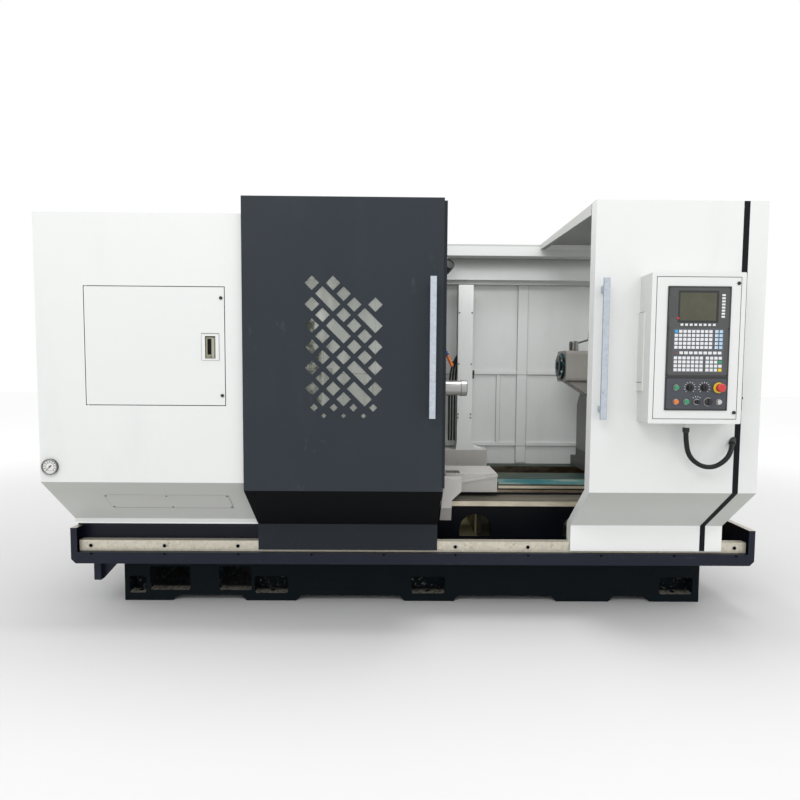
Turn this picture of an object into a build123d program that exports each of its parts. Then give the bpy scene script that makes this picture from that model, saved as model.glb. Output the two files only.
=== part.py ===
"""Flat-bed CNC turning lathe with a sliding charcoal door and a sliding white hood, in millimetres.

X runs along the bed from the headstock to the tailstock, Y from the operator to the rear, Z up.
The origin is on the floor under the middle of the machine.
"""

import os
from math import cos, pi, radians, sin, tan

from build123d import *

os.makedirs("parts", exist_ok=True)

# Whole machine
TRAY_LENGTH = 3750.0
TOP_Z = 2190.0
FRONT_Y = -695.0
REAR_Y = FRONT_Y + 1295.0
RUN_GAP = 0.35
FIT_GAP = 0.05
SHEET = 2.0
TRAY_SHEET = 3.0

# Base casting and its feet
BASE_LENGTH = 3384.0
BASE_FRONT_Y = FRONT_Y + 467.0
BASE_REAR_Y = BASE_FRONT_Y + 788.0
BASE_TOP = 293.0
FOOT_HEIGHT = 33.0
FOOT_CHAMFER = 30.0
FOOT_SPANS = [(-1692.0, -1413.0), (-979.0, -690.0), (-52.0, 237.0), (846.0, 1153.0), (1403.0, 1692.0)]
ANCHOR_POCKETS = [(-1666.0, -1566.0), (-932.0, -737.0), (-11.0, 187.0), (1456.0, 1653.0)]
ANCHOR_POCKET_Z = (46.0, 146.0)
ANCHOR_POCKET_DEPTH = 90.0
ANCHOR_HOLE_R = 15.0
LIFT_WINDOWS = [(-1545.0, -1310.0), (-1140.0, -950.0)]
LIFT_WINDOW_Z = (63.0, 205.0)
POCKET_FILLET = 14.0

# Chip tray
TRAY_FRONT_Y = FRONT_Y + 256.0
TRAY_FLANGE_Z = 356.0
TRAY_WALL_TOP = 490.0
TRAY_END_FLANGE = 34.0
TRAY_CORNER = 24.0
BRACKET_X = 99.0 - TRAY_LENGTH / 2
BRACKET_WIDTH = 38.0
BRACKET_DROP = 108.0
BRACKET_GUSSET = 98.0

# Door rail on the tray
RAIL_HALF = TRAY_LENGTH / 2 - 32.0
RAIL_FRONT_Y = FRONT_Y + 284.0
RAIL_TOP = TRAY_FLANGE_Z + 59.0
RAIL_DEPTH = 44.0
RAIL_SHEET = 3.0
RAIL_HOLES = [-1780.0, -1377.0, -974.0, -573.0, -171.0, 226.0, 628.0, 1029.0, 1431.0, 1778.0]
RAIL_HOLE_R = 5.0

# Bed and ways
BED_HALF = 1640.0
BED_FRONT_Y = FRONT_Y + 640.0
BED_REAR_Y = FRONT_Y + 1270.0
WAY_TOP = 690.0
WAY_BEVEL = (32.0, 25.0)
FRONT_WAY_REAR_Y = FRONT_Y + 896.0
REAR_WAY_FRONT_Y = FRONT_Y + 1151.0
BED_WALL = 60.0
WAY_DEPTH = 60.0
TROUGH_FLOOR = 340.0
ARCH_HALF = 98.0
ARCH_TOP = 478.0
ARCH_CENTRES = [-895.0, -255.0, 385.0, 1025.0]
RIB_OFFSET = 5.0
RIB_WIDTH = 40.0
RIB_TOP = 480.0

# Spindle line
SPINDLE_Y = FRONT_Y + 942.0
SPINDLE_Z = 1395.0
BORE_R = 52.5
BEARING_SEAT_R = 90.0
BEARING_OUTER_R = 140.0
BEARING_SPANS = [(-1580.0, -1500.0), (-1000.0, -900.0)]
HEAD_LEFT, HEAD_RIGHT = -1590.0, -890.0
HEAD_TOP = 1700.0
NOSE_R = 165.0
SPINDLE_REAR = -1710.0
PULLEY_SEAT_R = 80.0
CHUCK_BACK, CHUCK_FACE = -850.0, -628.0
CHUCK_R = 315.0
CHUCK_BORE_R = 58.0
JAW_WIDTH = 70.0
JAW_SLOT_DEPTH = 72.0
JAW_INNER_R, JAW_OUTER_R = 100.0, 290.0
JAW_STEPS = [(160.0, 83.0), (225.0, 56.0), (290.0, 28.0)]

# Belt drive
PULLEY_LEFT, PULLEY_RIGHT = -1700.0, -1600.0
SPINDLE_PULLEY_R = 200.0
MOTOR_PULLEY_R = 100.0
GROOVE_COUNT = 4
GROOVE_PITCH = 22.0
GROOVE_TOP, GROOVE_BOTTOM = 17.0, 11.0
GROOVE_DEPTH = 14.0
BELT_THICKNESS = 11.0
MOTOR_Z = SPINDLE_Z + 495.0
MOTOR_R = 150.0
MOTOR_LEFT, MOTOR_RIGHT = -1560.0, -1080.0
MOTOR_SHAFT_R = 28.0

# Left housing
HOUSING_LEFT, HOUSING_RIGHT = TRAY_SHEET - TRAY_LENGTH / 2, -861.0
HOUSING_FRONT_Y = FRONT_Y + 20.0
HOUSING_TOP = TOP_Z - 80.0
HOUSING_FOLD_Z = 790.0
HOUSING_LIP_Y = FRONT_Y + 300.0
HOUSING_LIP_Z = 533.0
HOUSING_BOTTOM = 505.0
ACCESS_X = (-1633.0, -951.0)
ACCESS_Z = (HOUSING_TOP - 932.0, HOUSING_TOP - 354.0)
ACCESS_GAP = 4.0
ACCESS_FLANGE = 24.0
PIVOT_INSET = 6.5
PIVOT_R = 3.0
LATCH_PLATE_X = (-1063.0, -978.0)
LATCH_PLATE_Z = (ACCESS_Z[0] + 222.0, ACCESS_Z[0] + 350.0)
LATCH_PADDLE_X = (-1045.0, -996.0)
LATCH_PADDLE_Z = (LATCH_PLATE_Z[0] + 9.0, LATCH_PLATE_Z[1] - 11.0)
COVER_X = (-1612.0, -970.0)
COVER_HEIGHT = 136.0
COVER_SHEET = 1.5
COVER_MARGIN = 24.0
GAUGE_X, GAUGE_Z = HOUSING_LEFT + 52.0, 867.0
GAUGE_R = 40.0
GAUGE_DEPTH = 12.0
PARTITION_HOLE_R = 200.0

# Sliding door and hood share one folded profile
FOLD_Z = 755.0
SKIRT_Y = FRONT_Y + 275.0
SKIRT_Z = 512.0
SKIRT_BOTTOM = 368.0
RUNNER_DEPTH = 46.0
RUNNER_THICKNESS = 4.0
DOOR_X = (-859.0, 124.0)
DOOR_LEFT_FLANGE = 15.0
DOOR_RIGHT_FLANGE = 60.0
DOOR_STRIP = (122.0, 141.0)
HOOD_X = (860.0, 1700.0)
HOOD_LEFT_FLANGE = 70.0
HOOD_RIGHT_FLANGE = 25.0
ROOF_FLANGE = 50.0
ROOF_REAR_FLANGE = 30.0
ROOF_RIB_DEPTH = 28.0
HOOK_DEPTH = 34.0

# Diamond lattice in the door
LATTICE_X, LATTICE_Z = -364.0, 1778.5
LATTICE_PITCH_X, LATTICE_PITCH_Z = 51.6, 51.4
DIAMOND_SIDE = 50.0
LATTICE_ROWS = [
    (-3, -1),
    (0,),
    (-3, 1, 3),
    (-2, 0),
    (-3, 1),
    (-2, 2),
    (-3, -1, 1, 3),
    (-2, 0, 2),
    (-3, -1, 3),
    (-2, 0),
    (-3, -1, 3),
    (-2, 0),
]
LONG_CELLS = [(-2, 1), (2, 3), (-1, 4), (1, 8), (1, 10)]
SMALL_ROW_Z, SMALL_SIDE, SMALL_PITCH = 1171.5, 28.0, 97.0
TINY_ROW_Z, TINY_SIDE, TINY_PITCH = 1131.0, 18.0, 97.5
PANE_X = (-575.0, -150.0)
PANE_Z = (1090.0, 1830.0)
PANE_THICKNESS = 4.0

# Handles
HANDLE_Z = (1124.0, 1806.0)
HANDLE_WIDTH = 31.0
HANDLE_THICKNESS = 14.0
HANDLE_STAND = 45.0
HANDLE_POST = 30.0
HANDLE_POST_INSET = 34.0
DOOR_HANDLE_X = 70.0
HOOD_HANDLE_X = 900.0

# Top beam and rear wall
BEAM_Y = FRONT_Y + 1067.0
BEAM_DEPTH = 60.0
BEAM_BOTTOM, BEAM_TOP = TOP_Z - 50.0, TOP_Z + 25.0
BEAM_WALL = 3.0
FASCIA_Y = FRONT_Y + 1200.0
FASCIA_BOTTOM = TOP_Z - 190.0
STEP_DEPTH = 25.0
STEP_BOTTOM = TOP_Z - 218.0
WALL_RIB = 10.0
WALL_Y = BED_REAR_Y + WALL_RIB
WALL_RIGHT = HOOD_X[1]
WALL_BASE_Z = WAY_TOP + 10.0
WIDE_RIBS = [(-335.0, -264.0), (760.0, 831.0)]
NARROW_RIBS = [(-482.0, -456.0), (613.0, 639.0)]
CROSS_RIBS = [(1338.0, 1365.0), (820.0, 845.0)]
POST_WIDTH = 60.0
WALL_PADS = [-700.0, 470.0, 1500.0]
CABINET_X = (-1800.0, -900.0)
CABINET_Z = (330.0, TOP_Z - 240.0)
CABINET_REAR_Y = REAR_Y + 265.0
COVER_RIM = 20.0

# Carriage
SADDLE_X = (-160.0, 508.0)
SADDLE_FRONT_Y = BED_FRONT_Y - 46.0
WING_TOP = WAY_TOP + 46.0
WING_REAR_Y = FRONT_WAY_REAR_Y - 8.0
REAR_WING_Y = (REAR_WAY_FRONT_Y - 46.0, BED_REAR_Y - 9.0)
REAR_WING_TOP = WAY_TOP + 121.0
REAR_WING_RIGHT = 524.0
BRIDGE_X = (-160.0, 110.0)
BRIDGE_TOP = 860.0
DOVETAIL_BASE, DOVETAIL_TOP = 150.0, 190.0
DOVETAIL_HEIGHT = 32.0
SHELF_Z = 600.0
SHELF_FRONT_Y = BED_FRONT_Y - 182.0
SHELF_LIP = 28.0
SHELF_RIGHT = 1620.0
ARM_FRONT_Y = SHELF_FRONT_Y - 53.0
ARM_PLATE = 28.0
ARM_TOP = (172.0, 270.0)
ARM_NECK = (160.0, 216.0)
ARM_FOOT = (147.0, 212.0)
ARM_BOTTOM = 502.0
ARM_NECK_Z = 618.0
ARM_SHOULDER_Z = 668.0
SCREW_Y, SCREW_Z = BED_FRONT_Y - 95.0, 570.0
SCREW_R = 16.0
NUT_R = 24.0
SCREW_LEFT, SCREW_RIGHT = -815.0, SHELF_RIGHT + 5.0
MAST_X = (314.0, 416.0)
MAST_Y = (REAR_WING_Y[0] + 2.0, REAR_WING_Y[0] + 110.0)
MAST_TOP = TOP_Z - 240.0
MAST_FOOT = 60.0

# Cross slide and turret
SLIDE_X = (-150.0, 100.0)
SLIDE_HALF = 255.0
SLIDE_Y = FRONT_Y + 705.0
SLIDE_TOP = 960.0
TURRET_X, TURRET_Y = -80.0, SLIDE_Y
RISER_TOP = 1175.0
TURRET_BASE_TOP = 1335.0
TURRET_HEAD = 250.0
TURRET_HEAD_TOP = 1470.0
TOOL_SLOT = 34.0
TOOL_SLOT_Z = 1384.0
TURRET_MOTOR_Z = 1253.0
TURRET_MOTOR_R = 46.0
TURRET_MOTOR_END = 328.0

# Tailstock
TAIL_X = (1162.0, 1560.0)
TAIL_BASE_X = (1160.0, 1600.0)
TAIL_Y = (SPINDLE_Y - 242.0, SPINDLE_Y + 208.0)
TAIL_BASE_TOP = WAY_TOP + 70.0
BARREL_X = (985.0, 1600.0)
BARREL_HALF = 101.0
BARREL_CHAMFER = 26.0
QUILL_R = 60.0
QUILL_NOSE = 958.0
QUILL_REAR = 1500.0
CAP_R = 87.0
CAP_LEFT = 968.0
TAPER_MOUTH_R, TAPER_END_R, TAPER_LENGTH = 31.5, 26.0, 120.0
QUILL_SCREW_R = 16.0
WHEEL_X = 1665.0
WHEEL_R = 140.0
WHEEL_RIM_R = 13.0
WHEEL_HUB_R = 30.0
CLAMP_X = 1063.0
CLAMP_R = 30.0

# Control box on the hood
BOX_X = (1086.0, 1528.0)
BOX_Z = (1114.0, 1824.0)
BOX_DEPTH = 122.0
BOX_FRONT_Y = FRONT_Y - BOX_DEPTH
BOX_RIM = 21.0
BOX_DOOR_GAP = 2.0
BEZEL_X = (1161.0, 1458.0)
BEZEL_Z = (1336.0, 1758.0)
PANEL_Z = (1177.0, 1336.0)
BEZEL_PROUD = 4.0
BEZEL_FRONT_Y = BOX_FRONT_Y - BEZEL_PROUD
UNIT_DEPTH = 52.0
SCREEN_X = (1218.0, 1391.0)
SCREEN_Z = (1598.0, 1729.0)
SCREEN_RECESS = 3.0
KEY_FRAME_X = (1190.0, 1432.0)
KEY_FRAME_Z = (1355.0, 1562.0)
KEY_PROUD = 1.5
BUTTON_R = 11.0
STEM_R = 8.0
BUTTON_RING_R = 14.0
UPPER_ROW_Z, LOWER_ROW_Z = 1285.0, 1218.0
START_X, FEED_X, SPEED_X, ESTOP_X = 1212.0, 1278.0, 1346.0, 1414.0
STOP_X, LAMP_X, MODE_X, JOG_X, RESET_X = 1212.0, 1262.0, 1312.0, 1366.0, 1416.0
ESTOP_R = 20.0
ESTOP_RING_R = 29.0
ESTOP_REACH = 32.0

# Conduit from the box to the hood, and its two glands
CONDUIT_R = 11.5
CONDUIT_ROUTE = [
    (1302.0, -755.0, 1088.0),
    (1302.0, -755.0, 1041.0),
    (1316.0, -758.0, 951.0),
    (1376.0, -760.0, 901.0),
    (1443.0, -760.0, 895.0),
    (1501.0, -757.0, 930.0),
    (1531.0, -750.0, 975.0),
    (1557.0, -712.0, 1006.0),
]
GLAND_R = 17.0
GLAND_LENGTH = 12.0


def save(part, name):
    """Label one finished piece and write it to its own file."""
    part.label = name
    export_step(part, f"parts/{name}.step")


def block(x, y, z, mode=Mode.ADD):
    """A box inside the running part, from its spans along X, Y and Z."""
    with Locations(((x[0] + x[1]) / 2, (y[0] + y[1]) / 2, (z[0] + z[1]) / 2)):
        Box(x[1] - x[0], y[1] - y[0], z[1] - z[0], mode=mode)


def outline(points):
    """A closed flat face through the points of the running sketch."""
    with BuildLine() as line:
        Polyline(*points, close=True)
    make_face(line.edges())


def folded(points, thickness, side=Side.LEFT):
    """The section of a folded sheet that follows the points."""
    with BuildLine() as line:
        Polyline(*points)
        offset(amount=thickness, side=side)
    make_face(line.edges())


def turned(profile, axis_y, axis_z):
    """A piece turned about an axis along X, from points of X and radius."""
    with BuildPart() as piece:
        with BuildSketch(Plane.XZ.offset(-axis_y)):
            outline([(x, axis_z + r) for x, r in profile])
        revolve(axis=Axis((0, axis_y, axis_z), (1, 0, 0)))
    return piece.part


def spindle_rod(x, radius, axis_y, axis_z, mode=Mode.ADD):
    """A cylinder along X inside the running part."""
    with Locations(Location(((x[0] + x[1]) / 2, axis_y, axis_z), (0, 90, 0))):
        Cylinder(radius, x[1] - x[0], mode=mode)


def front_rod(x, z, radius, front_y, back_y, mode=Mode.ADD):
    """A cylinder along Y inside the running part."""
    with Locations(Location((x, (front_y + back_y) / 2, z), (90, 0, 0))):
        Cylinder(radius, back_y - front_y, mode=mode)


def post(x, y, z, radius, mode=Mode.ADD):
    """A cylinder along Z inside the running part."""
    with Locations((x, y, (z[0] + z[1]) / 2)):
        Cylinder(radius, z[1] - z[0], mode=mode)


# Base, tray and bed


def base_outline():
    """The front view of the base: raised underside between chamfered feet."""
    half = BASE_LENGTH / 2
    points = [(-half, BASE_TOP), (-half, 0)]
    for index, (left, right) in enumerate(FOOT_SPANS):
        if index > 0:
            points += [(left - FOOT_CHAMFER, FOOT_HEIGHT), (left, 0)]
        if index < len(FOOT_SPANS) - 1:
            points += [(right, 0), (right + FOOT_CHAMFER, FOOT_HEIGHT)]
    return points + [(half, 0), (half, BASE_TOP)]


def pocket(span, heights, depth, face_y, inward):
    """A cored pocket with rounded corners, sunk from the front or the rear face."""
    with BuildSketch(Plane.XZ.offset(-face_y)) as opening:
        with Locations(((span[0] + span[1]) / 2, (heights[0] + heights[1]) / 2)):
            RectangleRounded(span[1] - span[0], heights[1] - heights[0], POCKET_FILLET)
    extrude(opening.sketch, amount=-inward * depth, mode=Mode.SUBTRACT)


def make_bed_base():
    with BuildPart() as bed_base:
        with BuildSketch(Plane.XZ.offset(-BASE_REAR_Y)):
            outline(base_outline())
        extrude(amount=BASE_REAR_Y - BASE_FRONT_Y)
        for face_y, inward in ((BASE_FRONT_Y, 1), (BASE_REAR_Y, -1)):
            for span in ANCHOR_POCKETS:
                pocket(span, ANCHOR_POCKET_Z, ANCHOR_POCKET_DEPTH, face_y, inward)
                middle = (span[0] + span[1]) / 2
                hole_y = face_y + inward * ANCHOR_POCKET_DEPTH / 2
                post(middle, hole_y, (-1, ANCHOR_POCKET_Z[0] + 1), ANCHOR_HOLE_R, Mode.SUBTRACT)
        # Lifting bars pass right through the base
        for span in LIFT_WINDOWS:
            pocket(span, LIFT_WINDOW_Z, BASE_REAR_Y - BASE_FRONT_Y, BASE_FRONT_Y, 1)
    save(bed_base.part, "bed_base")


def make_chip_tray():
    half = TRAY_LENGTH / 2
    flange_rear = RAIL_FRONT_Y + RAIL_DEPTH
    floor_top = BASE_TOP + TRAY_SHEET
    with BuildPart() as chip_tray:
        block((-half, half), (TRAY_FRONT_Y, REAR_Y), (BASE_TOP, floor_top))
        block((-half, half), (TRAY_FRONT_Y, TRAY_FRONT_Y + TRAY_SHEET), (floor_top, TRAY_FLANGE_Z))
        block((-half, half), (TRAY_FRONT_Y, flange_rear), (TRAY_FLANGE_Z - TRAY_SHEET, TRAY_FLANGE_Z))
        block((-half, half), (REAR_Y - TRAY_SHEET, REAR_Y), (floor_top, TRAY_WALL_TOP))
        for side in (-1, 1):
            outer, inner = side * half, side * (half - TRAY_SHEET)
            flange = side * (half - TRAY_END_FLANGE)
            wall = (min(outer, inner), max(outer, inner))
            strip = (min(outer, flange), max(outer, flange))
            block(wall, (TRAY_FRONT_Y, REAR_Y), (floor_top, TRAY_WALL_TOP))
            block(strip, (TRAY_FRONT_Y, TRAY_FRONT_Y + TRAY_SHEET), (TRAY_FLANGE_Z, TRAY_WALL_TOP))
            block(strip, (TRAY_FRONT_Y, REAR_Y), (TRAY_WALL_TOP - TRAY_SHEET, TRAY_WALL_TOP))
            with BuildSketch(Plane.XZ.offset(-REAR_Y)):
                outline([(outer, BASE_TOP), (outer - side * TRAY_CORNER, BASE_TOP), (outer, BASE_TOP + TRAY_CORNER)])
            extrude(amount=REAR_Y - TRAY_FRONT_Y, mode=Mode.SUBTRACT)
            cut = TRAY_CORNER + 1.4 * TRAY_SHEET
            with BuildSketch(Plane.XZ.offset(-REAR_Y)):
                outline(
                    [
                        (outer - side * TRAY_CORNER, BASE_TOP),
                        (outer, BASE_TOP + TRAY_CORNER),
                        (outer, BASE_TOP + cut),
                        (outer - side * cut, BASE_TOP),
                    ]
                )
            extrude(amount=REAR_Y - TRAY_FRONT_Y)
        # Raised wall that carries the left housing
        block(
            (HOUSING_LEFT, HOUSING_RIGHT),
            (flange_rear, flange_rear + TRAY_SHEET),
            (TRAY_FLANGE_Z - TRAY_SHEET, HOUSING_BOTTOM + COVER_RIM),
        )
        # Bracket under the left end
        plate_right = BRACKET_X + BRACKET_WIDTH
        bottom = BASE_TOP - BRACKET_DROP
        block((BRACKET_X, plate_right), (HOUSING_LIP_Y, HOUSING_LIP_Y + BRACKET_WIDTH), (bottom, BASE_TOP))
        with BuildSketch(Plane.XZ.offset(-HOUSING_LIP_Y - BRACKET_WIDTH)):
            outline([(plate_right, bottom), (plate_right + BRACKET_GUSSET, BASE_TOP), (plate_right, BASE_TOP)])
        extrude(amount=8)
    save(chip_tray.part, "chip_tray")


def make_door_rail():
    with BuildPart() as door_rail:
        with BuildSketch(Plane.YZ.offset(-RAIL_HALF)):
            folded(
                [(RAIL_FRONT_Y, TRAY_FLANGE_Z), (RAIL_FRONT_Y, RAIL_TOP), (RAIL_FRONT_Y + RAIL_DEPTH, RAIL_TOP)],
                RAIL_SHEET,
                Side.RIGHT,
            )
        extrude(amount=2 * RAIL_HALF)
        for x in RAIL_HOLES:
            hole_z = (TRAY_FLANGE_Z + RAIL_TOP) / 2
            front_rod(x, hole_z, RAIL_HOLE_R, RAIL_FRONT_Y - 1, RAIL_FRONT_Y + RAIL_SHEET + 1, Mode.SUBTRACT)
    save(door_rail.part, "door_rail")


def bed_section():
    """The cross section of the bed: two ways over an open chip trough."""
    bottom = BASE_TOP + TRAY_SHEET
    inner_front = BED_FRONT_Y + BED_WALL
    inner_rear = BED_REAR_Y - BED_WALL
    return [
        (BED_FRONT_Y, bottom),
        (BED_FRONT_Y, WAY_TOP - WAY_BEVEL[1]),
        (BED_FRONT_Y + WAY_BEVEL[0], WAY_TOP),
        (FRONT_WAY_REAR_Y, WAY_TOP),
        (FRONT_WAY_REAR_Y, WAY_TOP - WAY_DEPTH),
        (inner_front, WAY_TOP - 2 * WAY_DEPTH),
        (inner_front, TROUGH_FLOOR),
        (inner_rear, TROUGH_FLOOR),
        (inner_rear, WAY_TOP - 2 * WAY_DEPTH),
        (REAR_WAY_FRONT_Y, WAY_TOP - WAY_DEPTH),
        (REAR_WAY_FRONT_Y, WAY_TOP),
        (BED_REAR_Y, WAY_TOP),
        (BED_REAR_Y, bottom),
    ]


def make_bed():
    with BuildPart() as bed:
        with BuildSketch(Plane.YZ.offset(-BED_HALF)):
            outline(bed_section())
        extrude(amount=2 * BED_HALF)
        for x in ARCH_CENTRES:
            with BuildSketch(Plane.XZ.offset(-BED_FRONT_Y - BED_WALL)):
                with BuildLine():
                    Polyline(
                        (x - ARCH_HALF, ARCH_TOP - ARCH_HALF),
                        (x - ARCH_HALF, TROUGH_FLOOR),
                        (x + ARCH_HALF, TROUGH_FLOOR),
                        (x + ARCH_HALF, ARCH_TOP - ARCH_HALF),
                    )
                    RadiusArc(
                        (x - ARCH_HALF, ARCH_TOP - ARCH_HALF),
                        (x + ARCH_HALF, ARCH_TOP - ARCH_HALF),
                        ARCH_HALF,
                    )
                make_face()
            extrude(amount=BED_WALL, mode=Mode.SUBTRACT)
            rib = (x + RIB_OFFSET, x + RIB_OFFSET + RIB_WIDTH)
            block(rib, (BED_FRONT_Y + BED_WALL, BED_REAR_Y - BED_WALL), (TROUGH_FLOOR, RIB_TOP))
    save(bed.part, "bed")


def make_drip_shelf():
    with BuildPart() as drip_shelf:
        with BuildSketch(Plane.YZ.offset(SCREW_LEFT)):
            folded(
                [(BED_FRONT_Y, SHELF_Z), (SHELF_FRONT_Y, SHELF_Z), (SHELF_FRONT_Y, SHELF_Z - SHELF_LIP)],
                TRAY_SHEET,
                Side.LEFT,
            )
        extrude(amount=SHELF_RIGHT - SCREW_LEFT)
    save(drip_shelf.part, "drip_shelf")


# Spindle line and belt drive


def make_headstock():
    foot_top = WAY_TOP + 50
    body = (SPINDLE_Y - 235, SPINDLE_Y + 255)
    with BuildPart() as headstock:
        with BuildSketch(Plane.YZ.offset(HEAD_LEFT)):
            outline(
                [
                    (BED_FRONT_Y + WAY_BEVEL[0], WAY_TOP),
                    (BED_REAR_Y, WAY_TOP),
                    (BED_REAR_Y, foot_top),
                    (body[1], foot_top + 60),
                    (body[1], HEAD_TOP - 70),
                    (body[1] - 70, HEAD_TOP),
                    (body[0] + 70, HEAD_TOP),
                    (body[0], HEAD_TOP - 70),
                    (body[0], foot_top + 60),
                    (BED_FRONT_Y + WAY_BEVEL[0], foot_top),
                ]
            )
        extrude(amount=HEAD_RIGHT - HEAD_LEFT)
        inset = 90
        with BuildSketch(Plane.XZ.offset(-body[0])):
            with Locations(((HEAD_LEFT + HEAD_RIGHT) / 2, SPINDLE_Z - 200)):
                RectangleRounded(HEAD_RIGHT - HEAD_LEFT - 2 * inset, 520, 40)
        extrude(amount=-12, mode=Mode.SUBTRACT)
        spindle_rod((HEAD_LEFT, HEAD_RIGHT), BEARING_OUTER_R, SPINDLE_Y, SPINDLE_Z, Mode.SUBTRACT)
    save(headstock.part, "headstock")


def make_spindle_bearings():
    with BuildPart() as spindle_bearings:
        for span in BEARING_SPANS:
            spindle_rod(span, BEARING_OUTER_R - FIT_GAP, SPINDLE_Y, SPINDLE_Z)
            spindle_rod(span, BEARING_SEAT_R, SPINDLE_Y, SPINDLE_Z, Mode.SUBTRACT)
    save(spindle_bearings.part, "spindle_bearings")


def make_spindle():
    seat = BEARING_SEAT_R - FIT_GAP
    nose_left = HEAD_RIGHT + 10
    spindle = turned(
        [
            (SPINDLE_REAR, BORE_R),
            (SPINDLE_REAR, PULLEY_SEAT_R),
            (PULLEY_RIGHT, PULLEY_SEAT_R),
            (PULLEY_RIGHT, seat),
            (nose_left, seat),
            (nose_left, NOSE_R),
            (CHUCK_BACK, NOSE_R),
            (CHUCK_BACK, BORE_R),
        ],
        SPINDLE_Y,
        SPINDLE_Z,
    )
    save(spindle, "spindle")


def pulley_profile(rim_r, bore_r):
    """Half section of a grooved pulley as X and radius."""
    start = (PULLEY_LEFT + PULLEY_RIGHT) / 2 - GROOVE_PITCH * (GROOVE_COUNT - 1) / 2
    points = [(PULLEY_LEFT, bore_r), (PULLEY_LEFT, rim_r)]
    for index in range(GROOVE_COUNT):
        centre = start + index * GROOVE_PITCH
        points += [
            (centre - GROOVE_TOP / 2, rim_r),
            (centre - GROOVE_BOTTOM / 2, rim_r - GROOVE_DEPTH),
            (centre + GROOVE_BOTTOM / 2, rim_r - GROOVE_DEPTH),
            (centre + GROOVE_TOP / 2, rim_r),
        ]
    return points + [(PULLEY_RIGHT, rim_r), (PULLEY_RIGHT, bore_r)]


def make_pulleys():
    save(turned(pulley_profile(SPINDLE_PULLEY_R, PULLEY_SEAT_R), SPINDLE_Y, SPINDLE_Z), "spindle_pulley")
    with BuildPart() as motor_pulley:
        add(turned(pulley_profile(MOTOR_PULLEY_R, MOTOR_SHAFT_R), SPINDLE_Y, MOTOR_Z))
        spindle_rod((PULLEY_LEFT, MOTOR_LEFT + 180), MOTOR_SHAFT_R, SPINDLE_Y, MOTOR_Z)
    save(motor_pulley.part, "motor_pulley")


def make_drive_belts():
    seat = GROOVE_DEPTH - RUN_GAP
    width = GROOVE_BOTTOM - 2 * RUN_GAP
    start = (PULLEY_LEFT + PULLEY_RIGHT) / 2 - GROOVE_PITCH * (GROOVE_COUNT - 1) / 2
    with BuildPart() as drive_belts:
        for index in range(GROOVE_COUNT):
            with BuildSketch(Plane.YZ.offset(start + index * GROOVE_PITCH - width / 2)):
                with Locations((SPINDLE_Y, SPINDLE_Z)):
                    Circle(SPINDLE_PULLEY_R - seat + BELT_THICKNESS)
                with Locations((SPINDLE_Y, MOTOR_Z)):
                    Circle(MOTOR_PULLEY_R - seat + BELT_THICKNESS)
                make_hull()
                offset(amount=-BELT_THICKNESS, mode=Mode.SUBTRACT)
            extrude(amount=width)
    save(drive_belts.part, "drive_belts")


def make_main_motor():
    rib_count = 24
    with BuildPart() as main_motor:
        spindle_rod((MOTOR_LEFT, MOTOR_RIGHT), MOTOR_R - 12, SPINDLE_Y, MOTOR_Z)
        spindle_rod((MOTOR_LEFT, MOTOR_LEFT + 40), MOTOR_R, SPINDLE_Y, MOTOR_Z)
        spindle_rod((MOTOR_RIGHT - 110, MOTOR_RIGHT), MOTOR_R, SPINDLE_Y, MOTOR_Z)
        with BuildSketch(Plane.YZ.offset(MOTOR_LEFT + 40)):
            with Locations((SPINDLE_Y, MOTOR_Z)):
                with PolarLocations(MOTOR_R - 8, rib_count):
                    Rectangle(14, 5)
        extrude(amount=MOTOR_RIGHT - MOTOR_LEFT - 150)
        block((MOTOR_LEFT + 60, MOTOR_RIGHT - 120), (SPINDLE_Y - 130, SPINDLE_Y + 130), (HEAD_TOP, HEAD_TOP + 26))
        for side in (-1, 1):
            foot_y = SPINDLE_Y + side * 100
            block((MOTOR_LEFT + 80, MOTOR_RIGHT - 140), (foot_y - 22, foot_y + 22), (HEAD_TOP + 26, MOTOR_Z - 70))
        block((MOTOR_LEFT + 150, MOTOR_LEFT + 290), (SPINDLE_Y - 190, SPINDLE_Y - 120), (MOTOR_Z - 60, MOTOR_Z + 60))
        spindle_rod(
            (MOTOR_LEFT, MOTOR_LEFT + 180 + RUN_GAP), MOTOR_SHAFT_R + FIT_GAP, SPINDLE_Y, MOTOR_Z, Mode.SUBTRACT
        )
    save(main_motor.part, "main_motor")


def make_chuck_body():
    body = turned(
        [
            (CHUCK_BACK, CHUCK_BORE_R),
            (CHUCK_BACK, 205),
            (CHUCK_BACK + 50, 205),
            (CHUCK_BACK + 50, CHUCK_R - 6),
            (CHUCK_BACK + 56, CHUCK_R),
            (CHUCK_FACE - 6, CHUCK_R),
            (CHUCK_FACE, CHUCK_R - 6),
            (CHUCK_FACE, CHUCK_BORE_R),
        ],
        SPINDLE_Y,
        SPINDLE_Z,
    )
    with BuildPart() as chuck_body:
        add(body)
        with BuildPart(mode=Mode.PRIVATE) as slot:
            block(
                (CHUCK_FACE - JAW_SLOT_DEPTH, CHUCK_FACE + 2),
                (SPINDLE_Y - JAW_WIDTH / 2, SPINDLE_Y + JAW_WIDTH / 2),
                (SPINDLE_Z + CHUCK_BORE_R - 8, SPINDLE_Z + CHUCK_R + 2),
            )
        for index in range(3):
            turned_slot = slot.part.rotate(Axis((0, SPINDLE_Y, SPINDLE_Z), (1, 0, 0)), 120 * index)
            add(turned_slot, mode=Mode.SUBTRACT)
    save(chuck_body.part, "chuck_body")


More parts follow.
